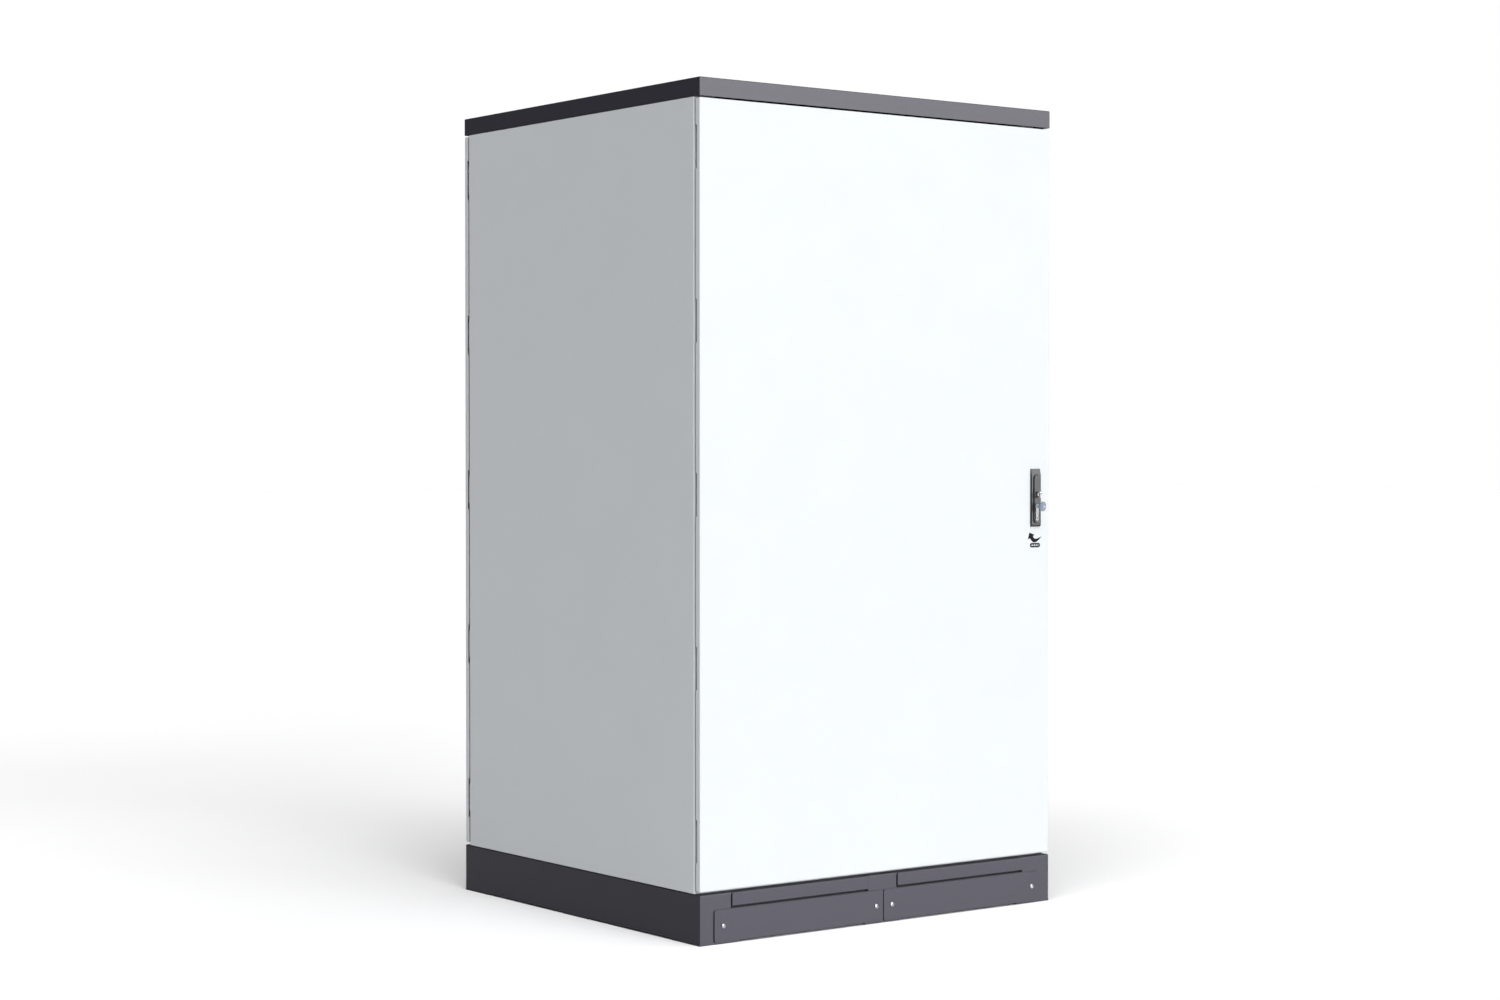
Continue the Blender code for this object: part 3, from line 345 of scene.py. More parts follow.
def plate(name, outlines, axis, ends, edge=0.0, segments=2):
    """Outlines filled, inner ones as holes, extruded along axis. Points leave that axis out."""
    curve = bpy.data.curves.new(name, "CURVE")
    curve.dimensions = "2D"
    curve.fill_mode = "BOTH"
    curve.extrude = abs(ends[1] - ends[0]) / 2
    for outline in outlines:
        spline = curve.splines.new("POLY")
        spline.points.add(len(outline) - 1)
        for point, (u, v) in zip(spline.points, outline):
            point.co = (u, v, 0.0, 1.0)
        spline.use_cyclic_u = True
    flat = new_object(name + "_outline", curve)
    middle = (ends[0] + ends[1]) / 2
    offset = {"X": (middle, 0, 0), "Y": (0, middle, 0), "Z": (0, 0, middle)}[axis]
    flat.matrix_world = Matrix.Translation(offset) @ TURN_TO_AXIS[axis].to_4x4()
    mesh = final_mesh(flat)
    mesh.materials.clear()
    bpy.data.objects.remove(flat)
    shape = bmesh.new()
    shape.from_mesh(mesh)
    bpy.data.meshes.remove(mesh)
    bmesh.ops.remove_doubles(shape, verts=shape.verts, dist=1e-6)
    bmesh.ops.dissolve_limit(shape, angle_limit=math.radians(1), verts=shape.verts, edges=shape.edges)
    return closed(name, shape, edge, segments)


def boxes(name, spans, edge=0.0, segments=2):
    """Separate boxes in one mesh, each (xs, ys, zs)."""
    shape = bmesh.new()
    for xs, ys, zs in spans:
        add_box(shape, Vector((min(xs), min(ys), min(zs))), Vector((max(xs), max(ys), max(zs))))
    return closed(name, shape, edge, segments)


def turned(name, profile, steps=24):
    """A closed solid of revolution about Z from (radius, height) points, from axis to axis."""
    shape = bmesh.new()
    rings = []
    for radius, height in profile:
        if radius == 0:
            rings.append([shape.verts.new((0, 0, height))])
            continue
        rings.append([shape.verts.new((x, y, height)) for x, y in circle(0, 0, radius, steps)])
    for lower, upper in zip(rings, rings[1:]):
        for i in range(steps):
            j = (i + 1) % steps
            corners = [lower[i % len(lower)], lower[j % len(lower)]]
            corners += [upper[j % len(upper)], upper[i % len(upper)]]
            distinct = list(dict.fromkeys(corners))
            if len(distinct) > 2:
                shape.faces.new(distinct)
    return smooth(closed(name, shape))


def facing(point, direction=(0, -1, 0)):
    """A matrix that puts +Z along a direction, or towards the front, at a point."""
    turn = Vector(direction).to_track_quat("Z", "Y").to_matrix().to_4x4()
    return Matrix.Translation(point) @ turn


def tray(name, low, high, open_side, sheet, radius, segments=4):
    """A folded sheet box open towards one side, with rounded folds, its sheet grown inwards."""
    shape = bmesh.new()
    add_box(shape, low, high)
    way = Vector(open_side)
    bmesh.ops.recalc_face_normals(shape, faces=shape.faces)
    lids = [face for face in shape.faces if face.normal.dot(way) > 0.9]
    bmesh.ops.delete(shape, geom=lids, context="FACES_ONLY")
    folds = [edge for edge in shape.edges if len(edge.link_faces) == 2]
    bmesh.ops.bevel(shape, geom=folds, offset=radius, segments=segments, profile=0.5, affect="EDGES")
    grown = {"thickness": sheet, "offset": -1, "use_even_offset": True}
    return modify(meshed(name, shape), "sheet", "SOLIDIFY", **grown)


def middle_of(low, high):
    return [(a + b) / 2 for a, b in zip(low, high)]


def depths(side, low, high):
    """The back and the face, along Y, of a box on a door."""
    return (high.y, low.y) if side == FRONT else (low.y, high.y)


def cut(target, tool):
    """Takes the tool's shape out of the target, as a modifier, and hides the tool."""
    tool.hide_render = True
    tool.display_type = "WIRE"
    taken = {"operation": "DIFFERENCE", "object": tool, "solver": "EXACT"}
    return modify(target, tool.name, "BOOLEAN", **taken)


def settled(piece):
    """Applies a piece's modifiers, and removes the tools that they used."""
    mesh = final_mesh(piece)
    tools = [step.object for step in piece.modifiers if step.type == "BOOLEAN"]
    piece.modifiers.clear()
    piece.data = mesh
    piece.matrix_world = Matrix.Identity(4)
    for tool in tools:
        bpy.data.objects.remove(tool)
    return piece


def joined(name, pieces):
    """Several pieces as one mesh."""
    shape = bmesh.new()
    for piece in pieces:
        if piece.modifiers:
            settled(piece)
        shape.from_mesh(piece.data)
        bpy.data.objects.remove(piece)
    return smooth(meshed(name, shape))


def faces_of(name, piece, wanted):
    """A new piece from some of a settled piece's faces."""
    shape = bmesh.new()
    shape.from_mesh(piece.data)
    bmesh.ops.delete(shape, geom=[face for face in shape.faces if not wanted(face)], context="FACES")
    return smooth(meshed(name, shape))


def repeated(name, piece, places):
    """Copies of a piece at several places, each a matrix or an offset, as one mesh."""
    if piece.modifiers:
        settled(piece)
    shape = bmesh.new()
    for place in places:
        move = place if isinstance(place, Matrix) else Matrix.Translation(place)
        copy = piece.data.copy()
        copy.transform(move)
        shape.from_mesh(copy)
        bpy.data.meshes.remove(copy)
    bpy.data.objects.remove(piece)
    return smooth(meshed(name, shape))


# The dark finishes alone catch the sheen light.
SHEEN_CATCHERS = bpy.data.collections.new("sheen_catchers")
SHEEN_FINISHES = ("anthracite_paint", "black_plastic")


def paint(piece, finish, sheen=True):
    piece.data.materials.clear()
    piece.data.materials.append(FINISHES[finish])
    if sheen and finish in SHEEN_FINISHES:
        SHEEN_CATCHERS.objects.link(piece)


def dress(piece, finish, body="cabinet", replaced=(), sheen=True):
    """Gives a piece its finish, its body and the nodes that it stands for."""
    paint(piece, finish, sheen)
    if replaced:
        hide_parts(*replaced)
    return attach(piece, body)


def refine(node, finish, edge=0.0006, segments=2, tools=()):
    """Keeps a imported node, with cuts and rounded edges as modifiers, and gives it its finish."""
    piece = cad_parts[node]
    modify(piece, "weld", "WELD", merge_threshold=0.00001)
    for tool in tools:
        cut(piece, tool)
    flat = {"decimate_type": "DISSOLVE", "angle_limit": math.radians(1)}
    modify(piece, "whole_faces", "DECIMATE", **flat)
    if edge:
        bevel(piece, edge, segments)
    paint(piece, finish)
    return piece


# ---- fasteners ----


def pan_screw(head=0.0065, height=0.0036, cross=True):
    """A round-head screw on the origin, with a cross recess or a slot."""
    turn = [math.radians(angle) for angle in range(0, 90, 15)]
    rounding = [(head * math.cos(a), 0.0008 + (height - 0.0008) * math.sin(a)) for a in turn]
    screw = turned("screw", [(0, 0), (head, 0), *rounding, (0, height)])
    arm, half, deep = head * 0.5, head * 0.1, (height * 0.4, height + 0.001)
    cut(screw, boxes("recess_1", [((-arm, arm), (-half, half), deep)]))
    if cross:
        cut(screw, boxes("recess_2", [((-half, half), (-arm, arm), deep)]))
    return settled(screw)


def hex_bolt(across=0.013, height=0.0053, washer=0.012):
    """A hexagon head on a washer, on the origin."""
    rim = [(washer, 0), (washer, 0.0018), (washer - 0.0004, 0.0022)]
    ring = turned("washer", [(0, 0), *rim, (0, 0.0022)])
    radius = across / math.sqrt(3)
    head = plate("head", [circle(0, 0, radius, 6)], "Z", (0.002, 0.002 + height), 0.0006)
    top = height + 0.0026
    boss = turned("boss", [(0, 0.002), (across * 0.42, 0.002), (across * 0.4, top), (0, top)])
    return joined("bolt", [ring, head, boss])


def socket_screw(head=0.005, height=0.005):
    """A cap screw with a hexagon socket, on the origin."""
    rim = [(head, 0), (head, height - 0.0006), (head - 0.0006, height)]
    cap = turned("cap", [(0, 0), *rim, (0, height)])
    cut(cap, plate("socket", [circle(0, 0, head * 0.55, 6)], "Z", (height * 0.5, height + 0.001)))
    return settled(cap)


def fasten(name, fastener, places, finish="zinc_plate", body="cabinet"):
    return dress(repeated(name, fastener, places), finish, body)


# ---- shell ----


def build_shell():
    """The roof cover, its four plugs and the side panels. The sheen is for the skirt alone."""
    roof_low, roof_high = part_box("roof_cover")
    roof = settled(tray("roof_shell", roof_low, roof_high, (0, 0, -1), ROOF_SHEET, ROOF_FOLD))
    upright = 0.5  # a face is part of the skirt while its normal rises less than this
    skirt = faces_of("roof_skirt", roof, lambda face: abs(face.normal.z) < upright)
    top = faces_of("roof_top", roof, lambda face: abs(face.normal.z) >= upright)
    bpy.data.objects.remove(roof)
    dress(skirt, "anthracite_paint")
    dress(top, "anthracite_paint", replaced=["roof_cover"], sheen=False)
    dome = [(0, 0), (0.014, 0), (0.014, 0.0012), (0.0125, 0.0024), (0.007, 0.0031), (0, 0.0033)]
    inset = 0.075
    plug_x, plug_y = roof_high.x - inset, roof_high.y - inset
    places = [(x * plug_x, y * plug_y, roof_high.z) for x in (-1, 1) for y in (-1, 1)]
    plugs = repeated("roof_plugs", turned("plug", dome, 32), places)
    dress(plugs, "black_plastic", sheen=False)
    for hand, sign in HAND.items():
        low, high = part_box(f"side_panel_{hand}")
        panel = tray(f"side_shell_{hand}", low, high, (-sign, 0, 0), SIDE_SHEET, SIDE_FOLD)
        dress(smooth(panel), "light_grey_paint", replaced=[f"side_panel_{hand}"])


def build_plinth():
    """A folded ring on foot plates, with cable windows, air slots and pressed louvres."""
    low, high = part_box("plinth_frame")
    half_y = high.y - LOUVRE_PROUD
    bottom, top = LOUVRE_Z
    foot_top, flange, lip = 0.005, 0.045, 0.0022
    window_z, shade_filter_z = (0.022, 0.070), (0.074, 0.1145)
    corners = Vector((low.x, -half_y, foot_top - 0.001)), Vector((high.x, half_y, high.z))
    ring = tray("plinth_shell", *corners, (0, 0, -1), PLINTH_SHEET, PLINTH_FOLD)
    throat_x, throat_y = (low.x + flange, high.x - flange), (-half_y + flange, half_y - flange)
    throat = rounded_rectangle(*throat_x, *throat_y, 0.008)
    cut(ring, plate("throat", [throat], "Z", about(high.z, 0.01)))
    louvres, shade_filters = [], []
    for side, out in OUTWARD.items():
        outlines = []
        for sign in HAND.values():
            x0, x1 = sorted((sign * LOUVRE_X[0], sign * LOUVRE_X[1]))
            slot = [(x0 - lip, SLOT_BOTTOM), (x1, SLOT_BOTTOM), (x1, bottom), (x0, bottom)]
            slot += [(x0, top - 0.004), (x0 - lip, top - 0.004)]
            window = rounded_rectangle(x0 + 0.015, x1 - 0.015, *window_z, 0.006)
            outlines += [slot, window]
            proud = (out * (half_y + LOUVRE_PROUD), out * (half_y - PLINTH_SHEET / 2))
            louvres.append(((x0, x1), proud, LOUVRE_Z))
            # A dark foam sheet set back behind each air slot, as painted shade inside the plinth.
            behind = (out * (half_y - 0.0110), out * (half_y - 0.0170))
            shade_filters.append(((x0 - 0.01, x1 + 0.01), behind, shade_filter_z))
        through = sorted((out * (half_y - 0.01), out * (half_y + 0.01)))
        cut(ring, plate(f"windows_{side}", outlines, "Y", through))
    settled(ring)
    dress(smooth(ring), "anthracite_paint", replaced=["plinth_frame"])
    dress(boxes("louvres", louvres, 0.0018, 4), "anthracite_paint")
    # The dark foam behind the air slots stands in for the shade inside them: painted shade.
    dress(boxes("vent_shade_filters", shade_filters, 0.001), "foam_rubber")
    feet, foot, thick = [], 0.110, (0, foot_top)
    across = (-foot / 2, foot / 2)
    for x in (-1, 1):
        for y in (-1, 1):
            corner_y = (y * half_y, y * (half_y - foot))
            feet.append(((x * high.x, x * (high.x - foot)), corner_y, thick))
        feet.append(((x * high.x, x * (high.x - flange)), across, thick))
    feet += [(across, (y * half_y, y * (half_y - flange)), thick) for y in (-1, 1)]
    dress(boxes("foot_plates", feet, 0.0008), "anthracite_paint")
    for side, out in OUTWARD.items():
        places = []
        for hand in (LEFT, RIGHT):
            cover = f"plinth_cover_{side}_{hand}"
            refine(cover, "anthracite_paint", 0.0008, 3)
            low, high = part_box(cover)
            face = depths(side, low, high)[1]
            for x in (low.x + 0.026, high.x - 0.021):
                place = facing((x, face, middle_of(low, high)[2]), (0, out, 0))
                places.append(place @ Matrix.Rotation(0.5, 4, "Z"))
        fasten(f"cover_screws_{side}", pan_screw(0.0062, 0.0040), places, "screw_steel")


# ---- frame ----


def punched_holes(name, along, across, wall, axis):
    """Prisms for a row of alternating square and round holes, which runs up Z."""
    outlines, radius, half = [], 0.0042, 0.0052
    for number, z in enumerate(along):
        if number % 2:
            outlines.append(circle(across, z, radius, 12))
        else:
            outlines.append(rectangle(*about(across, half), *about(z, half)))
    return plate(name, outlines, axis, wall)


def steps_between(low, high, pitch):
    """Places at a pitch, centred between two limits."""
    count = int((high - low) / pitch + 1e-6)
    start = (low + high - count * pitch) / 2
    return [start + i * pitch for i in range(count + 1)]


def build_frame():
    """Posts with their punched rows, the base and top frames, and the gland plate."""
    for side in (FRONT, REAR):
        for hand, sign in HAND.items():
            node = f"frame_post_{side}_{hand}"
            low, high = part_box(node)
            inner = low.x if sign > 0 else high.x
            edge_y = high.y if side == FRONT else low.y
            centre_y = edge_y + OUTWARD[side] * 0.020
            rows = steps_between(low.z + 0.03, high.z - 0.03, PITCH)
            holes = punched_holes(f"{node}_holes", rows, centre_y, about(inner, 0.0035), "X")
            refine(node, "frame_paint", 0.0006, 2, [holes])
    refine("base_frame", "frame_paint", 0.0006)
    refine("top_frame", "frame_paint", 0.0006)
    refine("gland_plate", "plate_steel", 0.0004)
    low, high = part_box("gland_plate")
    rings = [circle(0, 0, radius, 40) for radius in (0.047, 0.0405)]
    lining = plate("grommet", rings, "Z", (high.z, high.z + 0.004), 0.0016, 3)
    holes = [(x, y, 0) for x in (-0.22, 0.22) for y in (-0.25, 0.20)]
    fasten("gland_grommets", lining, holes, "rubber")
    rows = [(x, y, high.z) for x in (-0.465, 0, 0.465) for y in (-0.43, -0.15, 0.15, 0.43)]
    fasten("gland_screws", pan_screw(0.006, 0.0035), rows)


def build_hinges(side):
    """Per hinge: the door's bored sleeve between the frame's two knuckles, on a pin."""
    out = OUTWARD[side]
    y = out * HINGE_Y
    low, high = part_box(f"{side}_hinge_carrier")
    foot = min(abs(low.y), abs(high.y))
    knuckle, sleeve = circle(0, 0, 0.0047, 28), circle(0, 0, 0.0048, 28)
    bore, pin = circle(0, 0, 0.0031, 20), circle(0, 0, 0.0028, 20)
    strip_x, strip_y = -0.5203, 0.4963  # where the carrier strip ends
    strip = ((low.x, strip_x), (out * foot, out * strip_y), (low.z, high.z))
    fixed = [boxes("strip", [strip], 0.0004)]
    sleeve_low, sleeve_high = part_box(f"{side}_hinge_sleeves")
    leaf_y = sorted((out * 0.5150, out * 0.5166))
    leaf = ((sleeve_low.x, HINGE_X + 0.0115), leaf_y, (sleeve_low.z, sleeve_high.z))
    turning = [boxes("leaf", [leaf], 0.0004)]
    arm_x, arm_y = (-0.5275, -0.5245), (y - out * 0.0022, y + out * 0.0012)
    root = out * (foot + 0.0004)
    arm = [(HINGE_X, arm_y[0]), (arm_x[0], arm_y[0]), (arm_x[0], root)]
    arm += [(arm_x[1], root), (arm_x[1], arm_y[1]), (HINGE_X, arm_y[1])]
    web_x = about(HINGE_X, 0.0035)
    web_y = (out * 0.5160, y + out * 0.0036)

    def on_axis(name, outlines, ends, edge, segments=2):
        return repeated(name, plate(name, outlines, "Z", ends, edge, segments), [(HINGE_X, y, 0)])

    for z in HINGE_HEIGHTS:
        for end in (-1, 1):
            ends = sorted((z + end * (BARREL_HALF + 0.0003), z + end * (BARREL_HALF + 0.0163)))
            fixed.append(plate("arm", [arm], "Z", ends, 0.0004))
            fixed.append(on_axis("knuckle", [knuckle], ends, 0.0004))
        fixed.append(on_axis("pin", [pin], about(z, 0.0365), 0.0006, 3))
        barrel = about(z, BARREL_HALF)
        turning.append(on_axis("sleeve", [sleeve, bore], barrel, 0.0004))
        turning.append(boxes("web", [(web_x, web_y, barrel)]))
    frame_half = joined(f"{side}_hinge_frame_half", fixed)
    dress(frame_half, "zinc_plate", replaced=[f"{side}_hinge_carrier"])
    door_half = joined(f"{side}_hinge_door_half", turning)
    dress(door_half, "zinc_plate", f"{side}_door_leaf", [f"{side}_hinge_sleeves"])


# ---- doors ----


def build_door(side):
    """A folded leaf, notched for its hinges, with its gasket, stiffener and earth stud."""
    node, body, out = f"{side}_door", f"{side}_door_leaf", OUTWARD[side]
    low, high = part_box(node)
    edge, face = depths(side, low, high)
    door = tray(f"{side}_door_shell", low, high, (0, -out, 0), DOOR_SHEET, DOOR_FOLD)
    notch = ((low.x - 0.01, low.x + 0.0025), (edge - out * 0.01, edge + out * 0.005))
    cut(door, boxes("notches", [(*notch, about(z, 0.05)) for z in HINGE_HEIGHTS]))
    hub_low, hub_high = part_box(f"{side}_lock_spindle")
    hub = (hub_low + hub_high) / 2
    cut(door, plate("spindle_hole", [circle(hub.x, hub.z, 0.007, 24)], "Y", about(face, 0.01)))
    settled(door)
    dress(smooth(door), "light_grey_paint", body, [node])
    refine(f"{side}_door_gasket", "foam_rubber", 0.0025, 3)
    build_stiffener(side)
    inside = face - out * DOOR_SHEET
    stud = turned("stud", [(0, 0), (0.003, 0), (0.003, 0.0135), (0.0026, 0.014), (0, 0.014)], 20)
    earth = joined("earth_stud", [stud, hex_bolt(0.010, 0.005, 0.0085)])
    place = facing((-0.425, inside, 0.235), (0, -out, 0))
    fasten(f"{side}_earth_stud", earth, [place], body=body)
    if side == FRONT:
        build_pocket()


def build_pocket():
    """An open-topped pocket with a finger notch in its front wall, and a few sheets in it."""
    low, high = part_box("document_pocket")
    wall, notch = 0.0018, 0.045
    top = high.z - notch
    whole_x, whole_y, side_z = (low.x, high.x), (low.y, high.y), (low.z, top)
    spans = [
        (whole_x, whole_y, (low.z, low.z + wall)),
        ((low.x, low.x + wall), whole_y, side_z),
        ((high.x - wall, high.x), whole_y, side_z),
        (whole_x, (low.y, low.y + wall), (low.z, high.z)),
    ]
    sides = boxes("pocket_walls", spans, 0.0005)
    front = [(low.x, low.z), (high.x, low.z), (high.x, top)]
    front += arc(0, top, notch, 0, -180, 20) + [(low.x, top)]
    face = plate("pocket_front", [front], "Y", (high.y - wall, high.y), 0.0005)
    pocket = joined("document_pocket_shell", [sides, face])
    dress(pocket, "pocket_plastic", "front_door_leaf", ["document_pocket"])
    sheets, margin, gap = [], 0.014, 0.006
    for number, (shift, short) in enumerate(((0.004, 0.012), (-0.006, 0.018), (0.001, 0.008))):
        y = low.y + gap + gap * number
        xs = (low.x + margin + shift, high.x - margin + shift)
        sheets.append((xs, (y, y + 0.003), (low.z + 0.003, high.z - short)))
    dress(boxes("pocket_sheets", sheets, 0.0006), "white_print", "front_door_leaf")


def build_stiffener(side):
    """The frame inside a door, with a punched row down either side."""
    node = f"{side}_door_stiffener"
    low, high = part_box(node)
    wall = about(depths(side, low, high)[0] + OUTWARD[side] * 0.0027, 0.004)
    rows = steps_between(low.z + 0.045, high.z - 0.045, PITCH)
    left = punched_holes(f"{node}_left", rows, low.x + 0.015, wall, "Y")
    right = punched_holes(f"{node}_right", rows, 0.450, wall, "Y")
    refine(node, "light_grey_paint", 0.0005, 2, [left, right])


# ---- handle ----


def build_handle(side):
    """A sloped housing with a groove round the lever, and the lock behind it."""
    out = OUTWARD[side]
    low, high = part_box(f"{side}_handle_housing")
    base, face = depths(side, low, high)
    lever_low, lever_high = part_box(f"{side}_handle_lever")
    chin = 0.005  # radius of the housing's lower front edge
    round_edge = []
    for a in (0.5, 1.0, 1.57):
        inward, upward = chin - chin * math.sin(a), low.z + chin - chin * math.cos(a)
        round_edge.append((face - out * inward, upward))
    profile = [
        (base, low.z),
        (face - out * 0.002, low.z),
        *round_edge,
        (face, high.z - 0.017),
        (base + out * 0.0022, high.z),
        (base, high.z),
    ]
    housing = plate(f"{side}_housing_shell", [profile], "X", (low.x, high.x), 0.0009, 3)
    centre, half = middle_of(lever_low, lever_high)[0], (lever_high.x - lever_low.x) / 2
    rings = []
    for grow in (0.0020, -0.0012):
        rings.append(stadium(centre, half + grow, lever_low.z - grow, lever_high.z + grow))
    cut(housing, plate(f"{side}_groove", rings, "Y", (face - out * 0.0018, face + out * 0.01)))
    settled(housing)
    dress(smooth(housing), "black_plastic", f"{side}_door_leaf", [f"{side}_handle_housing"])
    build_lever(side, out, f"{side}_lever")
    refine(f"{side}_lock_spindle", "zinc_plate", 0.0)
    for end in ("upper", "lower"):
        refine(f"{side}_lock_rod_{end}", "rod_steel", 0.0003)
    build_key(side, out)


def build_lever(side, out, body):
    """The swing lever, with the lock cylinder in it and, in front, the slot of the padlock eye."""
    low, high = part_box(f"{side}_handle_lever")
    back, face = depths(side, low, high)
    centre, half = middle_of(low, high)[0], (high.x - low.x) / 2
    cylinder_low, cylinder_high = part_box(f"{side}_lock_cylinder")
    holes = [stadium(centre, 0.0063, cylinder_low.z - 0.0003, cylinder_high.z + 0.0003)]
    if side == FRONT:
        eye_low, eye_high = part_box("front_padlock_eye")
        eye_z = middle_of(eye_low, eye_high)[2]
        holes.append(rectangle(*about(centre, 0.0020), *about(eye_z, 0.0060)))
    outline = stadium(centre, half, low.z, high.z)
    lever = plate(f"{side}_lever_shell", [outline, *holes], "Y", (back, face))
    bevel(lever, 0.0009, 4, 50)
    dress(lever, "black_plastic", body, [f"{side}_handle_lever"])
    build_cylinder(side, out, body, centre)
    if side == FRONT:
        build_eye(body, out)


def build_cylinder(side, out, body, centre):
    """The round head and the narrower web of a profile cylinder, with its fixing hole."""
    low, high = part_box(f"{side}_lock_cylinder")
    back, face = depths(side, low, high)
    radius = (high.x - low.x) / 2
    hub = high.z - radius
    web = 0.0043
    meet = math.degrees(math.acos(web / radius))
    outline = arc(centre, hub, radius, -meet, 180 + meet, 28)
    outline += arc(centre, low.z + web, web, 180, 360, 14)
    fixing = circle(centre, low.z + web + 0.0022, 0.0014, 16)
    plug_seat = circle(centre, hub, 0.0046, 28)
    holed = [outline, plug_seat, fixing]
    cylinder = plate(f"{side}_cylinder_body", holed, "Y", (back, face), 0.0005, 3)
    dress(cylinder, "chrome_plate", body, [f"{side}_lock_cylinder"])
    seat = (back, back + out * 0.0012)
    infill = plate(f"{side}_cylinder_seat", [stadium(centre, 0.0062, low.z, high.z)], "Y", seat)
    dress(infill, "black_plastic", body)


def build_eye(body, out):
    """The padlock eye: a ring on a tongue that comes out of the lever."""
    low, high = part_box("front_padlock_eye")
    radius = (high.z - low.z) / 2
    centre_y, centre_z = low.y + radius, middle_of(low, high)[2]
    tongue = 0.0055
    start = 180 - math.degrees(math.asin(tongue / radius))
    ring = [(centre_y + out * u, centre_z + v) for u, v in arc(0, 0, radius, start, -start, 28)]
    outline = [(high.y, centre_z + tongue), *ring, (high.y, centre_z - tongue)]
    hole = circle(centre_y, centre_z, 0.0042, 24)
    eye = plate("padlock_eye_ring", [outline, hole], "X", (low.x, high.x), 0.0011, 4)
    dress(eye, "chrome_plate", body, ["front_padlock_eye"])


def build_key(side, out):
    """A flat key, with its blade, shoulder and holed bow, and the plug that it turns."""
    low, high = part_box(f"{side}_key")
    body = f"{side}_lock_key"
    inner, tip = depths(side, low, high)
    centre_x, _, centre_z = middle_of(low, high)
    half = (high.z - low.z) / 2
    bow_start = tip - out * 2 * half
    bow = rounded_rectangle(*sorted((tip, bow_start)), *about(centre_z, half), 0.0100, 8)
    hole = circle(tip - out * 0.0062, centre_z, 0.0028, 20)
    parts = [plate("bow", [bow, hole], "X", about(centre_x, 0.0011), 0.0005, 3)]
    cylinder_low, cylinder_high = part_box(f"{side}_lock_cylinder")
    mouth = depths(side, cylinder_low, cylinder_high)[1]
    neck = bow_start + out * 0.003
    for name, ys, half_x, half_z, edge in (
        ("blade", (mouth - out * 0.002, neck), 0.0009, 0.0035, 0.0003),
        ("shoulder", (neck, bow_start - out * 0.0022), 0.0010, 0.0062, 0.0004),
    ):
        xs, zs = about(centre_x, half_x), about(centre_z, half_z)
        parts.append(boxes(name, [(xs, ys, zs)], edge))
    key = joined(f"{side}_key_blank", parts)
    dress(key, "key_steel", body, [f"{side}_key"])
    plug_outline = circle(centre_x, centre_z, 0.0043, 28)
    keyway = rectangle(*about(centre_x, 0.0012), *about(centre_z, 0.0038))
    plug_y = (inner, mouth + out * 0.0004)
    plug = plate(f"{side}_key_plug", [plug_outline, keyway], "Y", plug_y, 0.0002)
    dress(plug, "chrome_plate", body)


def build_marks():
    """The printed arrow that shows the lever's way, and a label with plain bars under it."""
    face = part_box("front_door")[0].y
    lever_low, lever_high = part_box("front_handle_lever")
    centre = middle_of(lever_low, lever_high)[0] + 0.001
    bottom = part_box("front_handle_housing")[0].z
    ink = (face - 0.00025, face - 0.00002)
    tip_low, tip_high, barb = (-0.0243, -0.0325), (-0.0190, -0.0150), (-0.0015, -0.0212)
    outer = bent((-0.0172, -0.0292), (-0.0003, -0.0400), (0.0226, -0.0246), 14)
    inner = bent((0.0226, -0.0246), (0.0024, -0.0310), (-0.0068, -0.0238), 14)
    arrow = [(centre + u, bottom + v) for u, v in (*outer, *inner[1:], barb, tip_high, tip_low)]
    dress(plate("turn_arrow", [arrow], "Y", ink), "black_print", "front_door_leaf")
    label_z, half_w, half_h = bottom - 0.0472, 0.0172, 0.0057
    xs, zs = about(centre, half_w), about(label_z, half_h)
    outlines = [rounded_rectangle(*xs, *zs, 0.0056, 8)]
    for start, end in ((-0.0118, -0.0066), (-0.0044, 0.0014), (0.0036, 0.0078), (0.0098, 0.0120)):
        outlines.append(rectangle(centre + start, centre + end, label_z - 0.0014, label_z + 0.0016))
    dress(plate("mark_label", outlines, "Y", ink), "label_print", "front_door_leaf")


# ---- equipment ----


def build_equipment():
    """What stands on the mounting plate, with the bolts that hold the plate."""
    refine("mounting_plate", "plate_steel", 0.0005)
    plate_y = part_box("mounting_plate")[0].y
    bolt_x, bolt_z = (-0.484, 0.484), steps_between(0.19, 1.88, 0.21)
    places = [facing((x, plate_y, z)) for x in bolt_x for z in bolt_z]
    fasten("plate_bolts", hex_bolt(), places)
    build_busbars()
    build_breaker("main_breaker", 4, 0.022, (0.150, 0.130), (0.050, 0.075))
    for number in (1, 2, 3):
        build_breaker(f"feeder_breaker_{number}", 3, 0.014, (0.075, 0.075), (0.026, 0.046))
    build_terminals()
    build_duct(plate_y)
    refine("earth_bar", "copper", 0.0005)
    low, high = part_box("earth_bar")
    z = middle_of(low, high)[2]
    places = [facing((x, low.y, z)) for x in steps_between(low.x + 0.02, high.x - 0.02, PITCH)]
    fasten("earth_screws", pan_screw(0.0052, 0.0038, False), places, "screw_steel")


def build_busbars():
    """Three phases and the neutral, bolted, in two comb supports."""
    places = []
    for name in ("busbar_l1", "busbar_l2", "busbar_l3", "neutral_bar"):
        refine(name, "copper", 0.0009)
        low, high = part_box(name)
        for x in (-0.365, -0.2, 0.0, 0.2, 0.365):
            y = middle_of(low, high)[1]
            places += [facing((x, y, high.z), (0, 0, 1)), facing((x, y, low.z), (0, 0, -1))]
    fasten("bar_bolts", hex_bolt(0.0125, 0.006, 0.0115), places)
    for hand in (LEFT, RIGHT):
        refine(f"busbar_support_{hand}", "insulator", 0.0016, 3)
        low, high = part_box(f"busbar_support_{hand}")
        x = middle_of(low, high)[0]
        places = [facing((x, low.y, z)) for z in (1.5975, 1.6525, 1.7075)]
        fasten(f"support_screws_{hand}", socket_screw(0.0055, 0.005), places)


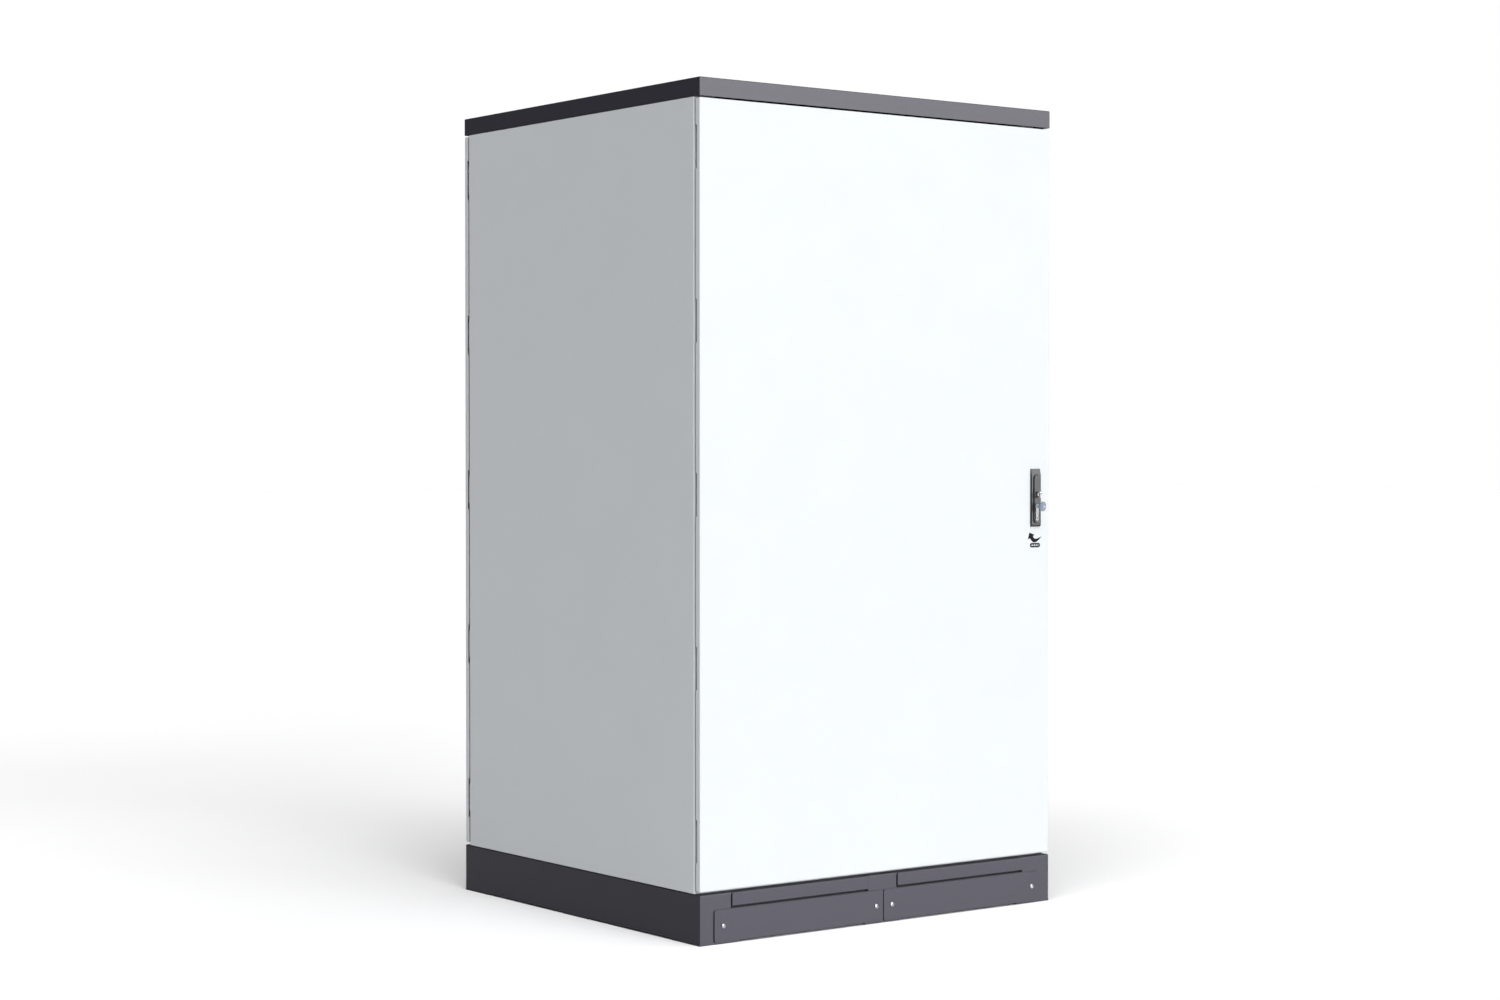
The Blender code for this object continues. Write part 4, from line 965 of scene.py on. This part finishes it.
def build_breaker(name, poles, nose_depth, nose, slot):
    """A moulded-case breaker: its case, a raised nose with the toggle's opening, and its marks."""
    low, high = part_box(name)
    x, _, z = middle_of(low, high)
    front = low.y + nose_depth
    shield = (high.z - low.z) * 0.20  # height of the terminal shield at either end
    slot_w, slot_h = slot[0] / 2, slot[1] / 2
    half_w, half_h = nose[0] / 2, nose[1] / 2
    opening = rectangle(*about(x, slot_w), *about(z, slot_h))
    build_case(name, poles, front, shield, (about(x, slot_w), about(z, slot_h)))
    outer = rounded_rectangle(*about(x, half_w), *about(z, half_h), 0.005)
    raised = plate(f"{name}_nose", [outer, opening], "Y", (low.y, front + 0.0015), 0.0014, 3)
    dress(raised, "breaker_moulding")
    rim, border = 0.006, 0.003
    frame_w, frame_h = half_w - rim, half_h - rim
    field = rounded_rectangle(*about(x, frame_w), *about(z, frame_h), 0.003)
    inner = rectangle(*about(x, slot_w + border), *about(z, slot_h + border))
    ys = (low.y - 0.0004, low.y + 0.001)
    escutcheon = plate(f"{name}_escutcheon", [field, inner], "Y", ys, 0.0002)
    dress(escutcheon, "breaker_face")
    ink = (low.y - 0.0006, low.y - 0.0003)
    side_x = x + slot_w + (frame_w - slot_w) / 2 + 0.001
    spot = min(0.006, (frame_w - slot_w) * 0.28)
    for finish, where in (("red_print", z + slot[1] * 0.30), ("green_print", z - slot[1] * 0.30)):
        mark = rectangle(*about(side_x, spot), *about(where, spot))
        dress(plate(f"{name}_{finish}_mark", [mark], "Y", ink), finish)
    build_label(name, x, half_w, z + half_h, high.z - shield, front)
    refine(name + "_toggle", "toggle_plastic", 0.0016, 3)


def build_case(name, poles, front, shield, mouth):
    """The case, grooved between its poles and shields, with a terminal at each pole's ends."""
    low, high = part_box(name)
    pole = (high.x - low.x) / poles
    case = boxes(f"{name}_case", [((low.x, high.x), (front, high.y), (low.z, high.z))], 0.0022, 3)
    grooves, pockets, lugs, screws = [], [], [], []
    line, skin = 0.0012, 0.001  # half a groove's width, and how far a cutter stands out
    half = pole * 0.30
    lug = half * 0.92
    for end in (-1, 1):
        edge = high.z if end > 0 else low.z
        seam_y, seam_z = (front - skin, high.y - 0.012), (edge - end * 0.030, edge + end * skin)
        for number in range(1, poles):
            seam = low.x + number * pole
            grooves.append((about(seam, line), seam_y, seam_z))
        zs = (edge - end * 0.012, edge - end * 0.012 - end * half * 1.4)
        for number in range(poles):
            middle = low.x + (number + 0.5) * pole
            pockets.append((about(middle, half), (front - skin, front + 0.014), zs))
            lugs.append((about(middle, lug), (front + 0.0125, front + 0.0137), zs))
            screws.append(facing((middle, front + 0.0128, sum(zs) / 2)))
        band, band_x = edge - end * shield, (low.x - skin, high.x + skin)
        grooves.append((band_x, (front - skin, front + line), about(band, skin)))
    settled(case)
    toggle_pocket = [(mouth[0], (low.y - 0.01, low.y + 0.030), mouth[1])]
    for spans in (grooves, pockets, toggle_pocket):
        cut(case, boxes("recess", spans))
    settled(case)
    dress(smooth(case), "breaker_moulding", replaced=[name])
    dress(boxes(f"{name}_lugs", lugs, 0.0002), "copper")
    size = pole * 0.16
    fasten(f"{name}_screws", socket_screw(size, size), screws)


def build_label(name, x, half_w, bottom, top, front):
    """A light label with three plain bars, between the nose and the upper shield."""
    centre, half_h = (bottom + top) / 2, (top - bottom) / 2 - 0.003
    wide, text = half_w * 0.8, half_w * 0.72
    label = rounded_rectangle(*about(x, wide), *about(centre, half_h), 0.0015)
    ys = (front - 0.0005, front + 0.001)
    dress(plate(f"{name}_label", [label], "Y", ys, 0.0002), "white_print")
    bars, ink, thick = [], (front - 0.0006, front - 0.0004), half_h * 0.1
    for row in range(3):
        z = centre + half_h * (0.5 - 0.5 * row)
        bars.append(((x - text, x + half_w * (0.5 - 0.3 * row)), ink, about(z, thick)))
    dress(boxes(f"{name}_label_bars", bars), "label_print")


def build_terminals():
    """Rail-mounted terminals in three groups, side by side, with two screws each."""
    rail_low, rail_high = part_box("din_rail")
    middle = middle_of(rail_low, rail_high)[2]
    slot = stadium(0, 0.0031, -0.0075, 0.0075, 6)
    slots = [[(x + v, middle + u) for u, v in slot] for x in (-0.347, -0.322, 0.322, 0.347)]
    slot_tool = plate("rail_slots", slots, "Y", about(rail_high.y, 0.003))
    refine("din_rail", "zinc_plate", 0.0002, 2, [slot_tool])
    low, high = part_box("terminal_row")
    back, face, half = high.y, low.y, (high.z - low.z) / 2
    upper = [(back, half), (back - 0.016, half), (back - 0.018, half - 0.004)]
    upper += [(back - 0.024, half - 0.006), (back - 0.030, half - 0.014)]
    upper += [(face, half - 0.0185), (face, half - 0.0245), (face + 0.004, half - 0.0262)]
    profile = [(y, middle + v) for y, v in upper] + [(y, middle - v) for y, v in reversed(upper)]
    plain, neutral, count = 49, 61, 75  # where each group ends
    groups = (
        ("plain", "terminal_plastic", 0, plain),
        ("neutral", "terminal_blue", plain, neutral),
        ("earth", "terminal_green", neutral, count),
    )
    pitch, gap = (high.x - low.x) / count, 0.0003
    for label, finish, first, last in groups:
        block = plate("block", [profile], "X", (low.x + gap, low.x + pitch - gap), 0.0005)
        steps = [(number * pitch, 0, 0) for number in range(first, last)]
        row = repeated(f"terminals_{label}", block, steps)
        dress(row, finish, "cabinet", ["terminal_row"] if first == 0 else ())
    places = []
    for number in range(count):
        for end in (-1, 1):
            x, z = low.x + (number + 0.5) * pitch, middle + end * (half - 0.0094)
            places.append(facing((x, back - 0.0265, z), (0, -0.8, end * 0.6)))
    fasten("terminal_screws", pan_screw(0.0026, 0.0016, False), places)


def build_duct(plate_y):
    """Slotted wiring duct round two windows: a base, rows of fingers and a snapped-on lid."""
    low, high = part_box("cable_duct")
    width = 0.045
    inner_x = (low.x + width, high.x - width)
    cells = [(0.645, 0.990), (1.035, 1.455)]

    def ladder(grow):
        lines = [rectangle(low.x - grow, high.x + grow, low.z - grow, high.z + grow)]
        for bottom, top in cells:
            lines.append(rectangle(inner_x[0] + grow, inner_x[1] - grow, bottom + grow, top - grow))
        return lines

    lid = plate("duct_lid", ladder(0), "Y", (low.y, low.y + 0.010))
    cut(lid, plate("lid_inside", ladder(-0.0018), "Y", (low.y + 0.002, low.y + 0.02)))
    settled(lid)
    dress(bevel(lid, 0.0008), "duct_plastic", replaced=["cable_duct"])
    base_y = (plate_y - 0.0023, plate_y - 0.0003)
    dress(plate("duct_base", ladder(-0.002), "Y", base_y, 0.0003), "duct_plastic")
    fingers = []
    ys = (low.y + 0.0075, plate_y - 0.0005)
    thick, half, pitch, end = 0.0017, 0.0043, 0.0125, 0.01

    def walls(xs, zs, first, last):
        """Fingers along the four sides of a rectangle, moved in at its low and its high lines."""
        for line in (xs[0] + first, xs[1] + last):
            for spot in steps_between(zs[0] + end, zs[1] - end, pitch):
                fingers.append(((line, line + thick), ys, about(spot, half)))
        for line in (zs[0] + first, zs[1] + last):
            for spot in steps_between(xs[0] + end, xs[1] - end, pitch):
                fingers.append((about(spot, half), ys, (line, line + thick)))

    near, far = 0.0019, -0.0036
    walls((low.x, high.x), (low.z, high.z), near, far)
    for cell in cells:
        walls(inner_x, cell, far, near)
    dress(boxes("duct_fingers", fingers), "duct_plastic")


# ---- stage ----

AROUND = 0.16  # strength of the light from all round


def build_stage():
    half = 60.0
    shape = bmesh.new()
    corners = [(-half, -half, 0), (half, -half, 0), (half, half, 0), (-half, half, 0)]
    shape.faces.new([shape.verts.new(corner) for corner in corners])
    floor = meshed("floor", shape)
    floor.data.materials.append(FINISHES["studio_floor"])


def add_sun(name, azimuth, elevation, strength, angle):
    """A distant soft light. The azimuth runs from the front of the cabinet to its right."""
    light = bpy.data.lights.new(name, "SUN")
    light.energy = strength
    light.angle = math.radians(angle)
    made = new_object(name, light)
    made.rotation_euler = (math.radians(90 - elevation), 0, math.radians(azimuth))
    return made


def build_light():
    """A broad low key from the front, a soft light high on either hand, and the dark parts' sheen."""
    world = bpy.data.worlds.new("studio")
    world.use_nodes = True
    tree = world.node_tree
    background = tree.nodes["Background"]
    background.inputs["Color"].default_value = (1.0, 1.0, 1.0, 1.0)
    seen = tree.nodes.new("ShaderNodeLightPath").outputs["Is Camera Ray"]
    strength = tree.nodes.new("ShaderNodeMapRange")
    strength.inputs["To Min"].default_value = AROUND
    tree.links.new(seen, strength.inputs["Value"])
    tree.links.new(strength.outputs["Result"], background.inputs["Strength"])
    bpy.context.scene.world = world
    add_sun("key", azimuth=0, elevation=5, strength=6.45, angle=55)
    add_sun("high_left", azimuth=-50, elevation=60, strength=2.25, angle=42)
    add_sun("high_right", azimuth=50, elevation=62, strength=0.85, angle=50)
    sheen = add_sun("sheen", azimuth=29, elevation=9, strength=7.4, angle=40)
    sheen.light_linking.receiver_collection = SHEEN_CATCHERS
    bpy.context.scene.view_settings.view_transform = "Standard"
    bpy.context.scene.view_settings.look = "None"


def build_camera():
    """Over a metre up, off the corner between the left side and the front."""
    data = bpy.data.cameras.new("camera")
    data.lens = 66.31
    data.sensor_width = 36.0
    camera = new_object("camera", data)
    camera.location = (-4.268, -5.656, 1.146)
    down, right = 1.054, 36.964  # degrees from level and from straight at the front door
    camera.rotation_euler = (math.radians(90 - down), 0.0, math.radians(-right))
    bpy.context.scene.camera = camera


build_camera()
build_light()
build_stage()
build_shell()
build_plinth()
build_frame()
for side in (FRONT, REAR):
    build_hinges(side)
for side in (FRONT, REAR):
    build_door(side)
    build_handle(side)
build_marks()
build_equipment()
